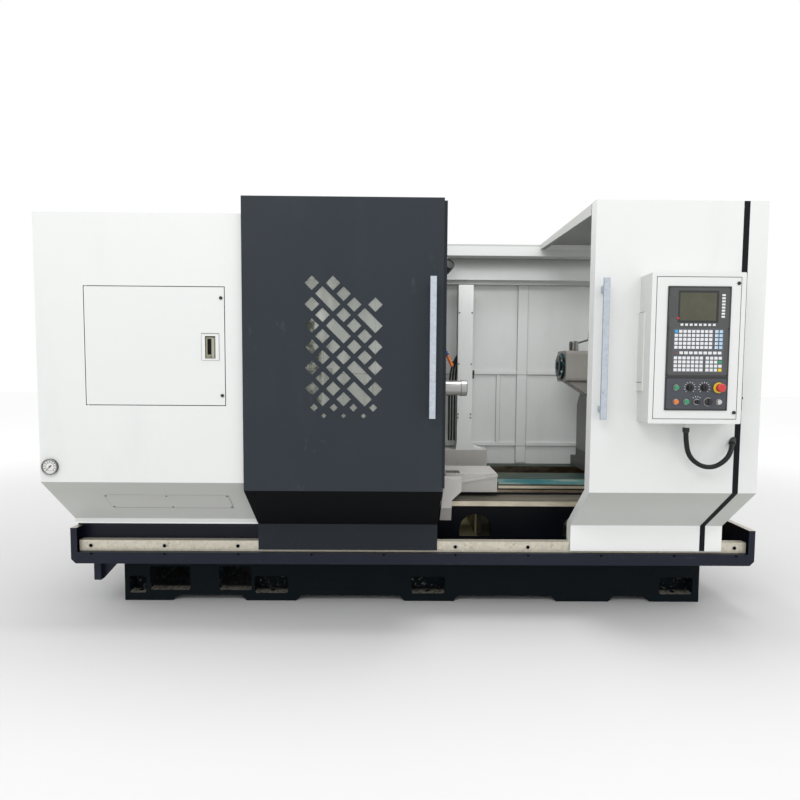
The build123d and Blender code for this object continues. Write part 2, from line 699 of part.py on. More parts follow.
def make_jaws():
    """Three stepped jaws; the first points straight up."""
    back = CHUCK_FACE - JAW_SLOT_DEPTH + RUN_GAP
    points = [(back, JAW_OUTER_R), (back, JAW_INNER_R)]
    inner = JAW_INNER_R
    for outer, reach in JAW_STEPS:
        points += [(CHUCK_FACE + reach, inner), (CHUCK_FACE + reach, outer)]
        inner = outer
    with BuildPart() as jaw:
        with BuildSketch(Plane.XZ.offset(-SPINDLE_Y)):
            outline([(x, SPINDLE_Z + r) for x, r in points])
        extrude(amount=JAW_WIDTH / 2 - RUN_GAP, both=True)
    for index in range(3):
        copy = jaw.part.rotate(Axis((0, SPINDLE_Y, SPINDLE_Z), (1, 0, 0)), 120 * index)
        save(copy, f"jaw_{index + 1}")


# Left housing


def housing_profile():
    """Side view of the housing front, from the top down."""
    return [
        (HOUSING_FRONT_Y, HOUSING_TOP - SHEET),
        (HOUSING_FRONT_Y, HOUSING_FOLD_Z),
        (HOUSING_LIP_Y, HOUSING_LIP_Z),
        (HOUSING_LIP_Y, HOUSING_BOTTOM),
    ]


def slope_plane():
    """A plane on the housing's slope, at the middle of its fold lines, facing out."""
    middle_y = (HOUSING_FRONT_Y + HOUSING_LIP_Y) / 2
    middle_z = (HOUSING_FOLD_Z + HOUSING_LIP_Z) / 2
    run, drop = HOUSING_LIP_Y - HOUSING_FRONT_Y, HOUSING_FOLD_Z - HOUSING_LIP_Z
    middle_x = (COVER_X[0] + COVER_X[1]) / 2
    return Plane(origin=(middle_x, middle_y, middle_z), x_dir=(1, 0, 0), z_dir=(0, -drop, -run))


def make_housing_front():
    gap = ACCESS_GAP
    inner = HOUSING_FRONT_Y + SHEET
    opening_x = (ACCESS_X[0] - gap, ACCESS_X[1] + gap)
    opening_z = (ACCESS_Z[0] - gap, ACCESS_Z[1] + gap)
    pivot_x, pivot_y = ACCESS_X[0] + PIVOT_INSET, HOUSING_FRONT_Y + PIVOT_INSET
    with BuildPart() as housing_front:
        with BuildSketch(Plane.YZ.offset(HOUSING_LEFT)):
            folded(housing_profile(), SHEET, Side.LEFT)
        extrude(amount=HOUSING_RIGHT - HOUSING_LEFT)
        block(opening_x, (HOUSING_FRONT_Y, inner), opening_z, Mode.SUBTRACT)
        for z in ((opening_z[0] - SHEET, opening_z[0]), (opening_z[1], opening_z[1] + SHEET)):
            block(opening_x, (HOUSING_FRONT_Y, inner + ACCESS_FLANGE), z)
        for x in ((opening_x[1], opening_x[1] + SHEET),):
            block(x, (HOUSING_FRONT_Y, inner + ACCESS_FLANGE), (opening_z[0] - SHEET, opening_z[1] + SHEET))
        post(pivot_x, pivot_y, (opening_z[0] - SHEET, opening_z[1] + SHEET), PIVOT_R + FIT_GAP, Mode.SUBTRACT)
        with BuildSketch(slope_plane()):
            Rectangle(COVER_X[1] - COVER_X[0] - 2 * COVER_MARGIN, COVER_HEIGHT - 2 * COVER_MARGIN)
        extrude(amount=-2 * SHEET, mode=Mode.SUBTRACT)
    save(housing_front.part, "housing_front")
    return housing_front.part


def make_housing_shell(front):
    """Top, left end, partition and back of the housing, welded together."""
    side = housing_profile() + [(REAR_Y, HOUSING_BOTTOM), (REAR_Y, HOUSING_TOP - SHEET)]
    saddle_clear = WAY_TOP + 10
    with BuildPart() as housing_shell:
        with BuildSketch(Plane.YZ.offset(HOUSING_LEFT)):
            outline(side)
        extrude(amount=SHEET)
        with BuildSketch(Plane.YZ.offset(HOUSING_RIGHT)):
            outline(side)
        extrude(amount=-SHEET)
        block((HOUSING_LEFT, HOUSING_RIGHT), (HOUSING_FRONT_Y, REAR_Y), (HOUSING_TOP - SHEET, HOUSING_TOP))
        block((HOUSING_LEFT, HOUSING_RIGHT), (REAR_Y - SHEET, REAR_Y), (TRAY_WALL_TOP, HOUSING_TOP - SHEET))
        block(
            (HOUSING_RIGHT - SHEET, HOUSING_RIGHT),
            (SHELF_FRONT_Y - 40, REAR_Y - SHEET),
            (HOUSING_BOTTOM, saddle_clear),
            Mode.SUBTRACT,
        )
        block(
            (HOUSING_LEFT, HOUSING_LEFT + SHEET),
            (RAIL_FRONT_Y + RAIL_DEPTH + TRAY_SHEET, REAR_Y - SHEET),
            (TRAY_WALL_TOP, HOUSING_BOTTOM),
        )
        spindle_rod(
            (HOUSING_RIGHT - SHEET, HOUSING_RIGHT), PARTITION_HOLE_R, SPINDLE_Y, SPINDLE_Z, Mode.SUBTRACT
        )
        spindle_rod((HOUSING_LEFT, HOUSING_LEFT + SHEET), BORE_R + 10, SPINDLE_Y, SPINDLE_Z, Mode.SUBTRACT)
        add(front, mode=Mode.SUBTRACT)
        raised = RAIL_FRONT_Y + RAIL_DEPTH
        block(
            (HOUSING_LEFT, HOUSING_RIGHT),
            (raised, raised + TRAY_SHEET),
            (HOUSING_BOTTOM - 20, HOUSING_BOTTOM + COVER_RIM),
            Mode.SUBTRACT,
        )
    save(housing_shell.part, "housing_shell")


def make_slope_cover():
    with BuildPart() as slope_cover:
        with BuildSketch(slope_plane()):
            RectangleRounded(COVER_X[1] - COVER_X[0], COVER_HEIGHT, 6)
        extrude(amount=COVER_SHEET)
    save(slope_cover.part, "slope_cover")


def pivot_pins(x, y, z):
    """Pivot blocks inside a door's left corners with pins that stand out above and below."""
    half = PIVOT_INSET - SHEET
    for low, high, pin in (
        (z[0], z[0] + 22, (z[0] - ACCESS_GAP - SHEET, z[0] + 22)),
        (z[1] - 22, z[1], (z[1] - 22, z[1] + ACCESS_GAP + SHEET)),
    ):
        block((x - half, x + half), (y - half, y + half), (low, high))
        post(x, y, pin, PIVOT_R)


def make_access_door():
    skin = (HOUSING_FRONT_Y, HOUSING_FRONT_Y + SHEET)
    rim_inset, rim_depth = 24, 14
    with BuildPart() as access_door:
        block(ACCESS_X, skin, ACCESS_Z)
        with BuildSketch(Plane.XZ.offset(-skin[1])):
            with Locations(((ACCESS_X[0] + ACCESS_X[1]) / 2, (ACCESS_Z[0] + ACCESS_Z[1]) / 2)):
                width = ACCESS_X[1] - ACCESS_X[0] - 2 * rim_inset
                height = ACCESS_Z[1] - ACCESS_Z[0] - 2 * rim_inset
                Rectangle(width, height)
                Rectangle(width - 2 * SHEET, height - 2 * SHEET, mode=Mode.SUBTRACT)
        extrude(amount=-rim_depth)
        pivot_pins(ACCESS_X[0] + PIVOT_INSET, HOUSING_FRONT_Y + PIVOT_INSET, ACCESS_Z)
        block(LATCH_PLATE_X, (skin[0] - 2.5, skin[0]), LATCH_PLATE_Z)
        well_x = (LATCH_PADDLE_X[0] - 1, LATCH_PADDLE_X[1] + 1)
        well_z = (LATCH_PADDLE_Z[0] - 1, LATCH_PADDLE_Z[1] + 1)
        block((well_x[0] - 2, well_x[1] + 2), (skin[1], skin[1] + 20), (well_z[0] - 2, well_z[1] + 2))
        block(well_x, (skin[0] - 3, skin[1] + 18), well_z, Mode.SUBTRACT)
        hinge_z = LATCH_PADDLE_Z[1] - 8
        spindle_rod((well_x[0] - 2, well_x[1] + 2), 3 + FIT_GAP, skin[1] + 3, hinge_z, Mode.SUBTRACT)
    save(access_door.part, "access_door")


def make_access_latch():
    """A chrome paddle on a cross pin at its top."""
    front = HOUSING_FRONT_Y - 1
    hinge_y, hinge_z = HOUSING_FRONT_Y + SHEET + 3, LATCH_PADDLE_Z[1] - 8
    reach = 3 + RUN_GAP
    with BuildPart() as access_latch:
        block(LATCH_PADDLE_X, (front, front + 4), (LATCH_PADDLE_Z[0], hinge_z + 4))
        block(LATCH_PADDLE_X, (front, hinge_y + 4), (hinge_z - 4, hinge_z + 4))
        spindle_rod((LATCH_PADDLE_X[0] - reach + 0.4, LATCH_PADDLE_X[1] + reach - 0.4), 3, hinge_y, hinge_z)
        front_rod((LATCH_PADDLE_X[0] + LATCH_PADDLE_X[1]) / 2, LATCH_PADDLE_Z[0] + 26, 9, front, front + 12)
    save(access_latch.part, "access_latch")


def make_gauge():
    face = HOUSING_FRONT_Y
    dial = face - GAUGE_DEPTH + 5
    with BuildPart() as pressure_gauge:
        front_rod(GAUGE_X, GAUGE_Z, GAUGE_R, face - GAUGE_DEPTH, face)
        front_rod(GAUGE_X, GAUGE_Z, GAUGE_R - 5, face - GAUGE_DEPTH, dial, Mode.SUBTRACT)
        front_rod(GAUGE_X, GAUGE_Z, 2 + FIT_GAP, dial, face - 2, Mode.SUBTRACT)
    save(pressure_gauge.part, "pressure_gauge")
    needle_y = (dial - 2.4, dial - 1.2)
    with BuildPart() as gauge_needle:
        front_rod(GAUGE_X, GAUGE_Z, 4, needle_y[0] - 0.6, needle_y[1])
        front_rod(GAUGE_X, GAUGE_Z, 2, needle_y[0], face - 3)
        with BuildSketch(Plane.XZ.offset(-needle_y[1])):
            outline([(GAUGE_X - 1.6, GAUGE_Z - 12), (GAUGE_X + 1.6, GAUGE_Z - 12), (GAUGE_X, GAUGE_Z + 28)])
        extrude(amount=needle_y[1] - needle_y[0])
    save(gauge_needle.part.rotate(Axis((GAUGE_X, 0, GAUGE_Z), (0, 1, 0)), -135), "gauge_needle")


# Sliding door and hood


def slider_profile():
    """Side view shared by the door and the hood, from the top down."""
    return [(FRONT_Y, TOP_Z - SHEET), (FRONT_Y, FOLD_Z), (SKIRT_Y, SKIRT_Z), (SKIRT_Y, SKIRT_BOTTOM)]


def side_flange(x, depth):
    """An upright return flange behind the folded front, ending above the rail."""
    above_rail = RAIL_TOP + RUN_GAP
    front = [(FRONT_Y, TOP_Z - SHEET), (FRONT_Y, FOLD_Z), (SKIRT_Y, SKIRT_Z), (SKIRT_Y, above_rail)]
    back = [(y + depth, z) for y, z in reversed(front)]
    with BuildSketch(Plane.YZ.offset(x)) as section:
        outline(front + back)
    extrude(section.sketch, amount=SHEET)


def runner(span):
    """The inner ledge that slides on the rail."""
    z = RAIL_TOP + RUN_GAP
    block(span, (SKIRT_Y, SKIRT_Y + RUNNER_DEPTH), (z, z + RUNNER_THICKNESS))


def lattice_cells():
    """Centres of the square diamonds and of the long ones, in the door's plane."""
    squares, long_cells = [], []
    for row, columns in enumerate(LATTICE_ROWS):
        for column in columns:
            squares.append((LATTICE_X + column * LATTICE_PITCH_X, LATTICE_Z - row * LATTICE_PITCH_Z))
    for column, row in LONG_CELLS:
        middle_x = LATTICE_X + (column + 0.5) * LATTICE_PITCH_X
        long_cells.append((middle_x, LATTICE_Z - (row + 0.5) * LATTICE_PITCH_Z))
    return squares, long_cells


def make_door():
    squares, long_cells = lattice_cells()
    long_side = DIAMOND_SIDE + (LATTICE_PITCH_X**2 + LATTICE_PITCH_Z**2) ** 0.5
    small = [(LATTICE_X + (i - 1.5) * SMALL_PITCH, SMALL_ROW_Z) for i in range(4)]
    tiny = [(LATTICE_X + (i - 1) * TINY_PITCH, TINY_ROW_Z) for i in range(3)]
    with BuildPart() as door_front:
        with BuildSketch(Plane.YZ.offset(DOOR_X[0])):
            folded(slider_profile(), SHEET, Side.LEFT)
        extrude(amount=DOOR_X[1] - DOOR_X[0])
        side_flange(DOOR_X[0], DOOR_LEFT_FLANGE)
        side_flange(DOOR_X[1] - SHEET, DOOR_RIGHT_FLANGE)
        runner(DOOR_X)
        block(DOOR_STRIP, (FRONT_Y + 30, FRONT_Y + 36), (FOLD_Z + 10, TOP_Z - 5))
        with BuildSketch(Plane.XZ.offset(-FRONT_Y)):
            with Locations(*squares):
                Rectangle(DIAMOND_SIDE, DIAMOND_SIDE, rotation=45)
            with Locations(*long_cells):
                Rectangle(long_side, DIAMOND_SIDE, rotation=-45)
            with Locations(*small):
                Rectangle(SMALL_SIDE, SMALL_SIDE, rotation=45)
            with Locations(*tiny):
                Rectangle(TINY_SIDE, TINY_SIDE, rotation=45)
        extrude(amount=-SHEET, mode=Mode.SUBTRACT)
    save(door_front.part, "door_front")
    with BuildPart() as door_window:
        block(PANE_X, (FRONT_Y + SHEET, FRONT_Y + SHEET + PANE_THICKNESS), PANE_Z)
        fillet(door_window.edges().filter_by(Axis.Y), 12)
    save(door_window.part, "door_window")


def hanging(x, width, high, low):
    """A strip under the sloping roof between two depths, shallower towards the beam."""
    rear = BEAM_Y - RUN_GAP - SHEET
    bend = FRONT_Y + DOOR_RIGHT_FLANGE + 20
    rise = BEAM_TOP + RUN_GAP + SHEET - TOP_Z
    share = ROOF_REAR_FLANGE / ROOF_FLANGE
    with BuildSketch(Plane.YZ.offset(x)) as section:
        outline(
            [
                (bend, TOP_Z - SHEET - high),
                (rear, TOP_Z - SHEET + rise - high * share),
                (rear, TOP_Z - SHEET + rise - low * share),
                (bend, TOP_Z - SHEET - low),
            ]
        )
    extrude(section.sketch, amount=width)


def make_roof(span, name, left_flange):
    """A roof sheet with hanging side flanges, a cross rib and a hook over the top beam."""
    rear = BEAM_Y - RUN_GAP
    hook_z = BEAM_TOP + RUN_GAP
    with BuildPart() as roof:
        bend = FRONT_Y + DOOR_RIGHT_FLANGE + 20
        with BuildSketch(Plane.YZ.offset(span[0])):
            outline(
                [
                    (FRONT_Y, TOP_Z - SHEET),
                    (bend, TOP_Z - SHEET),
                    (rear - SHEET, hook_z),
                    (rear + HOOK_DEPTH, hook_z),
                    (rear + HOOK_DEPTH, hook_z + SHEET),
                    (rear - SHEET, hook_z + SHEET),
                    (bend, TOP_Z),
                    (FRONT_Y, TOP_Z),
                ]
            )
        extrude(amount=span[1] - span[0])
        middle = (span[0] + span[1]) / 2
        hanging(span[0], SHEET, 0, ROOF_FLANGE)
        hanging(span[1] - SHEET, SHEET, 0, ROOF_FLANGE)
        hanging(span[0], left_flange, ROOF_FLANGE, ROOF_FLANGE + SHEET)
        hanging(middle - 60, SHEET, 0, ROOF_RIB_DEPTH)
        hanging(middle + 60 - SHEET, SHEET, 0, ROOF_RIB_DEPTH)
        hanging(middle - 60, 120, ROOF_RIB_DEPTH, ROOF_RIB_DEPTH + SHEET)
        block(span, (rear - SHEET, rear), (hook_z - ROOF_REAR_FLANGE - SHEET, hook_z + SHEET))
    save(roof.part, name)


def make_hood():
    with BuildPart() as hood_front:
        with BuildSketch(Plane.YZ.offset(HOOD_X[0])):
            folded(slider_profile(), SHEET, Side.LEFT)
        extrude(amount=HOOD_X[1] - HOOD_X[0])
        side_flange(HOOD_X[0], HOOD_LEFT_FLANGE)
        side_flange(HOOD_X[1] - SHEET, HOOD_RIGHT_FLANGE)
        runner(HOOD_X)
    save(hood_front.part, "hood_front")


def make_handle(x, name):
    """A flat bar on two square stand-off posts."""
    bar_y = (FRONT_Y - HANDLE_STAND - HANDLE_THICKNESS, FRONT_Y - HANDLE_STAND)
    span = (x - HANDLE_WIDTH / 2, x + HANDLE_WIDTH / 2)
    with BuildPart() as handle:
        block(span, bar_y, HANDLE_Z)
        fillet(handle.edges().filter_by(Axis.Z), 4)
        for low in (HANDLE_Z[0] + HANDLE_POST_INSET, HANDLE_Z[1] - HANDLE_POST_INSET - HANDLE_POST):
            block((span[0] + 6, span[1] - 6), (bar_y[1] - 1, FRONT_Y), (low, low + HANDLE_POST))
    save(handle.part, name)


# Top beam, rear wall and cabinet


def make_top_beam():
    tube_y = (BEAM_Y, BEAM_Y + BEAM_DEPTH)
    with BuildPart() as top_beam:
        block((HOUSING_LEFT, WALL_RIGHT), tube_y, (BEAM_BOTTOM, BEAM_TOP))
        block(
            (HOUSING_LEFT, WALL_RIGHT),
            (tube_y[0] + BEAM_WALL, tube_y[1] - BEAM_WALL),
            (BEAM_BOTTOM + BEAM_WALL, BEAM_TOP - BEAM_WALL),
            Mode.SUBTRACT,
        )
        for x in (HOUSING_LEFT + 20, HOUSING_RIGHT - 100):
            block((x, x + 60), tube_y, (HOUSING_TOP, BEAM_BOTTOM))
        with BuildSketch(Plane.YZ.offset(HOUSING_RIGHT)):
            folded(
                [
                    (tube_y[1] - BEAM_WALL, BEAM_BOTTOM),
                    (FASCIA_Y, BEAM_BOTTOM),
                    (FASCIA_Y, FASCIA_BOTTOM),
                    (FASCIA_Y + STEP_DEPTH, FASCIA_BOTTOM),
                    (FASCIA_Y + STEP_DEPTH, STEP_BOTTOM),
                    (WALL_Y, STEP_BOTTOM),
                ],
                SHEET,
                Side.LEFT,
            )
        extrude(amount=WALL_RIGHT - HOUSING_RIGHT)
        with BuildSketch(Plane.YZ.offset(HOUSING_RIGHT)):
            folded(
                [(tube_y[1] - BEAM_WALL, BEAM_TOP), (WALL_Y + SHEET, BEAM_TOP), (WALL_Y + SHEET, STEP_BOTTOM)],
                SHEET,
                Side.RIGHT,
            )
        extrude(amount=WALL_RIGHT - HOUSING_RIGHT)
    save(top_beam.part, "top_beam")


def make_rear_wall():
    floor_top = BASE_TOP + TRAY_SHEET
    span = (HOUSING_RIGHT, WALL_RIGHT)
    rib_y = (WALL_Y - WALL_RIB, WALL_Y)
    with BuildPart() as rear_wall:
        block(span, (WALL_Y, WALL_Y + SHEET), (floor_top, STEP_BOTTOM))
        for rib in WIDE_RIBS:
            block(rib, rib_y, (WALL_BASE_Z, STEP_BOTTOM))
        for rib in NARROW_RIBS:
            block(rib, rib_y, (CROSS_RIBS[1][1], CROSS_RIBS[0][0]))
        for rib in CROSS_RIBS:
            block(span, rib_y, rib)
        block((WALL_RIGHT - POST_WIDTH, WALL_RIGHT), (WALL_Y - POST_WIDTH, WALL_Y), (floor_top, STEP_BOTTOM))
        for x in WALL_PADS:
            block((x, x + POST_WIDTH), rib_y, (WALL_BASE_Z - 110, WALL_BASE_Z - 30))
    save(rear_wall.part, "rear_wall")


def make_electrical_cabinet():
    front = REAR_Y
    rear = CABINET_REAR_Y - COVER_SHEET * 2
    with BuildPart() as electrical_cabinet:
        block(CABINET_X, (front, rear), CABINET_Z)
        block(
            (CABINET_X[0] + SHEET, CABINET_X[1] - SHEET),
            (front + SHEET, rear),
            (CABINET_Z[0] + SHEET, CABINET_Z[1] - SHEET),
            Mode.SUBTRACT,
        )
        block(
            (CABINET_X[0] + COVER_RIM, CABINET_X[1] - COVER_RIM),
            (rear, CABINET_REAR_Y),
            (CABINET_Z[0] + COVER_RIM, CABINET_Z[1] - COVER_RIM),
        )
        for span in ((CABINET_X[0], CABINET_X[0] + COVER_RIM + 5), (CABINET_X[1] - COVER_RIM - 5, CABINET_X[1])):
            block(span, (rear - SHEET, rear), CABINET_Z)
        for span in ((CABINET_Z[0], CABINET_Z[0] + COVER_RIM + 5), (CABINET_Z[1] - COVER_RIM - 5, CABINET_Z[1])):
            block(CABINET_X, (rear - SHEET, rear), span)
    save(electrical_cabinet.part, "electrical_cabinet")


# Carriage


def make_saddle():
    bottom = WAY_TOP + RUN_GAP
    with BuildPart() as saddle:
        with BuildSketch(Plane.YZ.offset(SADDLE_X[0])):
            outline(
                [
                    (SADDLE_FRONT_Y, SHELF_Z + 25),
                    (SADDLE_FRONT_Y, WING_TOP),
                    (WING_REAR_Y, WING_TOP),
                    (WING_REAR_Y, bottom),
                    (BED_FRONT_Y + WAY_BEVEL[0] - RUN_GAP, bottom),
                    (BED_FRONT_Y - RUN_GAP, WAY_TOP - WAY_BEVEL[1] + RUN_GAP),
                    (BED_FRONT_Y - RUN_GAP, SHELF_Z + 25),
                ]
            )
        extrude(amount=SADDLE_X[1] - SADDLE_X[0])
        block((SADDLE_X[0], REAR_WING_RIGHT), REAR_WING_Y, (bottom, REAR_WING_TOP))
        block((SADDLE_X[0], REAR_WING_RIGHT), (REAR_WING_Y[0], REAR_WAY_FRONT_Y - 8), (bottom - 28, bottom))
        bridge_y = (SADDLE_FRONT_Y - 60, REAR_WING_Y[1])
        block(BRIDGE_X, (SADDLE_FRONT_Y, bridge_y[1]), (bottom, BRIDGE_TOP))
        block(BRIDGE_X, bridge_y, (WING_TOP - 10, BRIDGE_TOP))
        with BuildSketch(Plane.XZ.offset(-bridge_y[1])):
            middle = (BRIDGE_X[0] + BRIDGE_X[1]) / 2
            top = BRIDGE_TOP + DOVETAIL_HEIGHT
            outline(
                [
                    (middle - DOVETAIL_BASE / 2, BRIDGE_TOP),
                    (middle + DOVETAIL_BASE / 2, BRIDGE_TOP),
                    (middle + DOVETAIL_TOP / 2, top),
                    (middle - DOVETAIL_TOP / 2, top),
                ]
            )
        extrude(amount=bridge_y[1] - bridge_y[0])
        # Sloping web on the front wing
        with BuildSketch(Plane.XZ.offset(-SADDLE_FRONT_Y)):
            outline(
                [
                    (ARM_TOP[0], WING_TOP - 74),
                    (SADDLE_X[1], WING_TOP - 15),
                    (SADDLE_X[1], WING_TOP - 2),
                    (ARM_TOP[0], WING_TOP - 61),
                ]
            )
        extrude(amount=14)
        # Arm that passes over the shelf and down to the nut of the feed screw
        plate_rear = ARM_FRONT_Y + ARM_PLATE
        shoulder = WING_TOP + 4
        with BuildSketch(Plane.XZ.offset(-plate_rear)):
            outline(
                [
                    (ARM_TOP[0], shoulder),
                    (ARM_FOOT[0], ARM_BOTTOM),
                    (ARM_FOOT[1], ARM_BOTTOM),
                    (ARM_NECK[1], ARM_NECK_Z),
                    (ARM_TOP[1], ARM_SHOULDER_Z),
                    (ARM_TOP[1], shoulder),
                ]
            )
        extrude(amount=ARM_PLATE)
        block((ARM_TOP[0] + 2, ARM_TOP[1]), (plate_rear, SADDLE_FRONT_Y), (ARM_SHOULDER_Z, shoulder))
        nut = (ARM_NECK[0] - 30, ARM_NECK[1])
        link_top = SCREW_Z - NUT_R / 2
        block((ARM_NECK[0], ARM_FOOT[1] - 2), (plate_rear, SCREW_Y + NUT_R / 2), (ARM_BOTTOM + 20, link_top))
        spindle_rod(nut, NUT_R, SCREW_Y, SCREW_Z)
        spindle_rod(nut, SCREW_R + FIT_GAP, SCREW_Y, SCREW_Z, Mode.SUBTRACT)
    save(saddle.part, "saddle")


def make_cable_mast():
    """Tall folded cover on the rear wing, flared at its foot."""
    foot_top = REAR_WING_TOP + MAST_FOOT
    with BuildPart() as cable_mast:
        block(MAST_X, MAST_Y, (foot_top, MAST_TOP))
        with BuildSketch(Plane.XZ.offset(-MAST_Y[1])):
            outline(
                [
                    (MAST_X[0], foot_top),
                    (MAST_X[0] - 8, REAR_WING_TOP),
                    (MAST_X[1] + 78, REAR_WING_TOP),
                    (MAST_X[1] + 78, REAR_WING_TOP + 8),
                    (MAST_X[1] + 22, REAR_WING_TOP + 22),
                    (MAST_X[1], foot_top),
                ]
            )
        extrude(amount=MAST_Y[1] - MAST_Y[0])
        block(
            (MAST_X[0] + SHEET, MAST_X[1] - SHEET),
            (MAST_Y[0] + SHEET, MAST_Y[1] - SHEET),
            (REAR_WING_TOP, MAST_TOP - SHEET),
            Mode.SUBTRACT,
        )
    save(cable_mast.part, "cable_mast")


def make_feed_drive():
    """Servo motor and the two bearing blocks of the long feed screw."""
    wall = (SCREW_Y - 45, BED_FRONT_Y)
    height = (SCREW_Z - 45, SHELF_Z - TRAY_SHEET - 3)
    motor_left = SCREW_RIGHT
    with BuildPart() as feed_drive:
        block((SCREW_LEFT, SCREW_LEFT + 40), wall, height)
        block((motor_left - 45, motor_left), wall, height)
        for span in ((SCREW_LEFT, SCREW_LEFT + 40), (motor_left - 45, motor_left)):
            spindle_rod(span, SCREW_R + FIT_GAP, SCREW_Y, SCREW_Z, Mode.SUBTRACT)
        block((motor_left, motor_left + 18), (SCREW_Y - 65, SCREW_Y + 65), (SCREW_Z - 58, SCREW_Z + 50))
        block((motor_left + 18, motor_left + 170), (SCREW_Y - 55, SCREW_Y + 55), (SCREW_Z - 52, SCREW_Z + 50))
        spindle_rod((motor_left + 170, motor_left + 220), 44, SCREW_Y, SCREW_Z)
        spindle_rod((motor_left, motor_left + 60), SCREW_R + FIT_GAP, SCREW_Y, SCREW_Z, Mode.SUBTRACT)
    save(feed_drive.part, "feed_drive")
    with BuildPart() as feed_screw:
        spindle_rod((SCREW_LEFT + RUN_GAP, motor_left + 60 - RUN_GAP), SCREW_R, SCREW_Y, SCREW_Z)
    save(feed_screw.part, "feed_screw")


def make_cross_slide():
    bottom = BRIDGE_TOP + RUN_GAP
    middle = (BRIDGE_X[0] + BRIDGE_X[1]) / 2
    span_y = (SLIDE_Y - SLIDE_HALF, SLIDE_Y + SLIDE_HALF)
    side = 2 * RUN_GAP
    top = DOVETAIL_HEIGHT + RUN_GAP
    with BuildPart() as cross_slide:
        block(SLIDE_X, span_y, (bottom, SLIDE_TOP))
        with BuildSketch(Plane.XZ.offset(-span_y[1])):
            outline(
                [
                    (middle - DOVETAIL_BASE / 2 - side, BRIDGE_TOP),
                    (middle + DOVETAIL_BASE / 2 + side, BRIDGE_TOP),
                    (middle + DOVETAIL_TOP / 2 + side, BRIDGE_TOP + top),
                    (middle - DOVETAIL_TOP / 2 - side, BRIDGE_TOP + top),
                ]
            )
        extrude(amount=span_y[1] - span_y[0], mode=Mode.SUBTRACT)
        chamfer(cross_slide.edges().filter_by(Axis.Y).group_by(Axis.Z)[-1], 8)
    save(cross_slide.part, "cross_slide")


def make_turret():
    half = TURRET_HEAD / 2
    with BuildPart() as turret_base:
        with BuildSketch(Plane.XY.offset(SLIDE_TOP)):
            with Locations((TURRET_X + 40, TURRET_Y)):
                RectangleRounded(230, 300, 20)
        with BuildSketch(Plane.XY.offset(RISER_TOP)):
            with Locations((TURRET_X + 20, TURRET_Y)):
                RectangleRounded(210, 250, 20)
        loft()
        block(
            (TURRET_X - 176, TURRET_X + half + 40),
            (TURRET_Y - half, TURRET_Y + half),
            (RISER_TOP, TURRET_BASE_TOP),
        )
        fillet(turret_base.edges().filter_by(Axis.Z).group_by(Axis.X)[0], 18)
        spindle_rod((TURRET_X + half, TURRET_MOTOR_END), TURRET_MOTOR_R, TURRET_Y, TURRET_MOTOR_Z)
        spindle_rod((TURRET_MOTOR_END - 38, TURRET_MOTOR_END - 4), TURRET_MOTOR_R + 4, TURRET_Y, TURRET_MOTOR_Z)
        spindle_rod((TURRET_X + half, TURRET_X + half + 60), TURRET_MOTOR_R + 8, TURRET_Y, TURRET_MOTOR_Z)
        post(TURRET_X, TURRET_Y, (TURRET_BASE_TOP, TURRET_BASE_TOP + 60), 45)
    save(turret_base.part, "turret_base")
    bottom = TURRET_BASE_TOP + RUN_GAP
    with BuildPart() as turret_head:
        block(
            (TURRET_X - half, TURRET_X + half),
            (TURRET_Y - half, TURRET_Y + half),
            (bottom, TURRET_HEAD_TOP),
        )
        chamfer(turret_head.edges().filter_by(Axis.Z), 22)
        for index in range(4):
            angle = radians(90 * index)
            reach = half - TOOL_SLOT / 2
            middle = (TURRET_X + reach * cos(angle), TURRET_Y + reach * sin(angle), TOOL_SLOT_Z)
            with Locations(Location(middle, (0, 0, 90 * index))):
                Box(TOOL_SLOT + 1, TURRET_HEAD, TOOL_SLOT, mode=Mode.SUBTRACT)
        post(TURRET_X, TURRET_Y, (bottom, TURRET_BASE_TOP + 61), 45 + RUN_GAP, Mode.SUBTRACT)
        post(TURRET_X, TURRET_Y, (TURRET_HEAD_TOP, TURRET_HEAD_TOP + 24), 48)
    save(turret_head.part, "turret_head")


# Tailstock


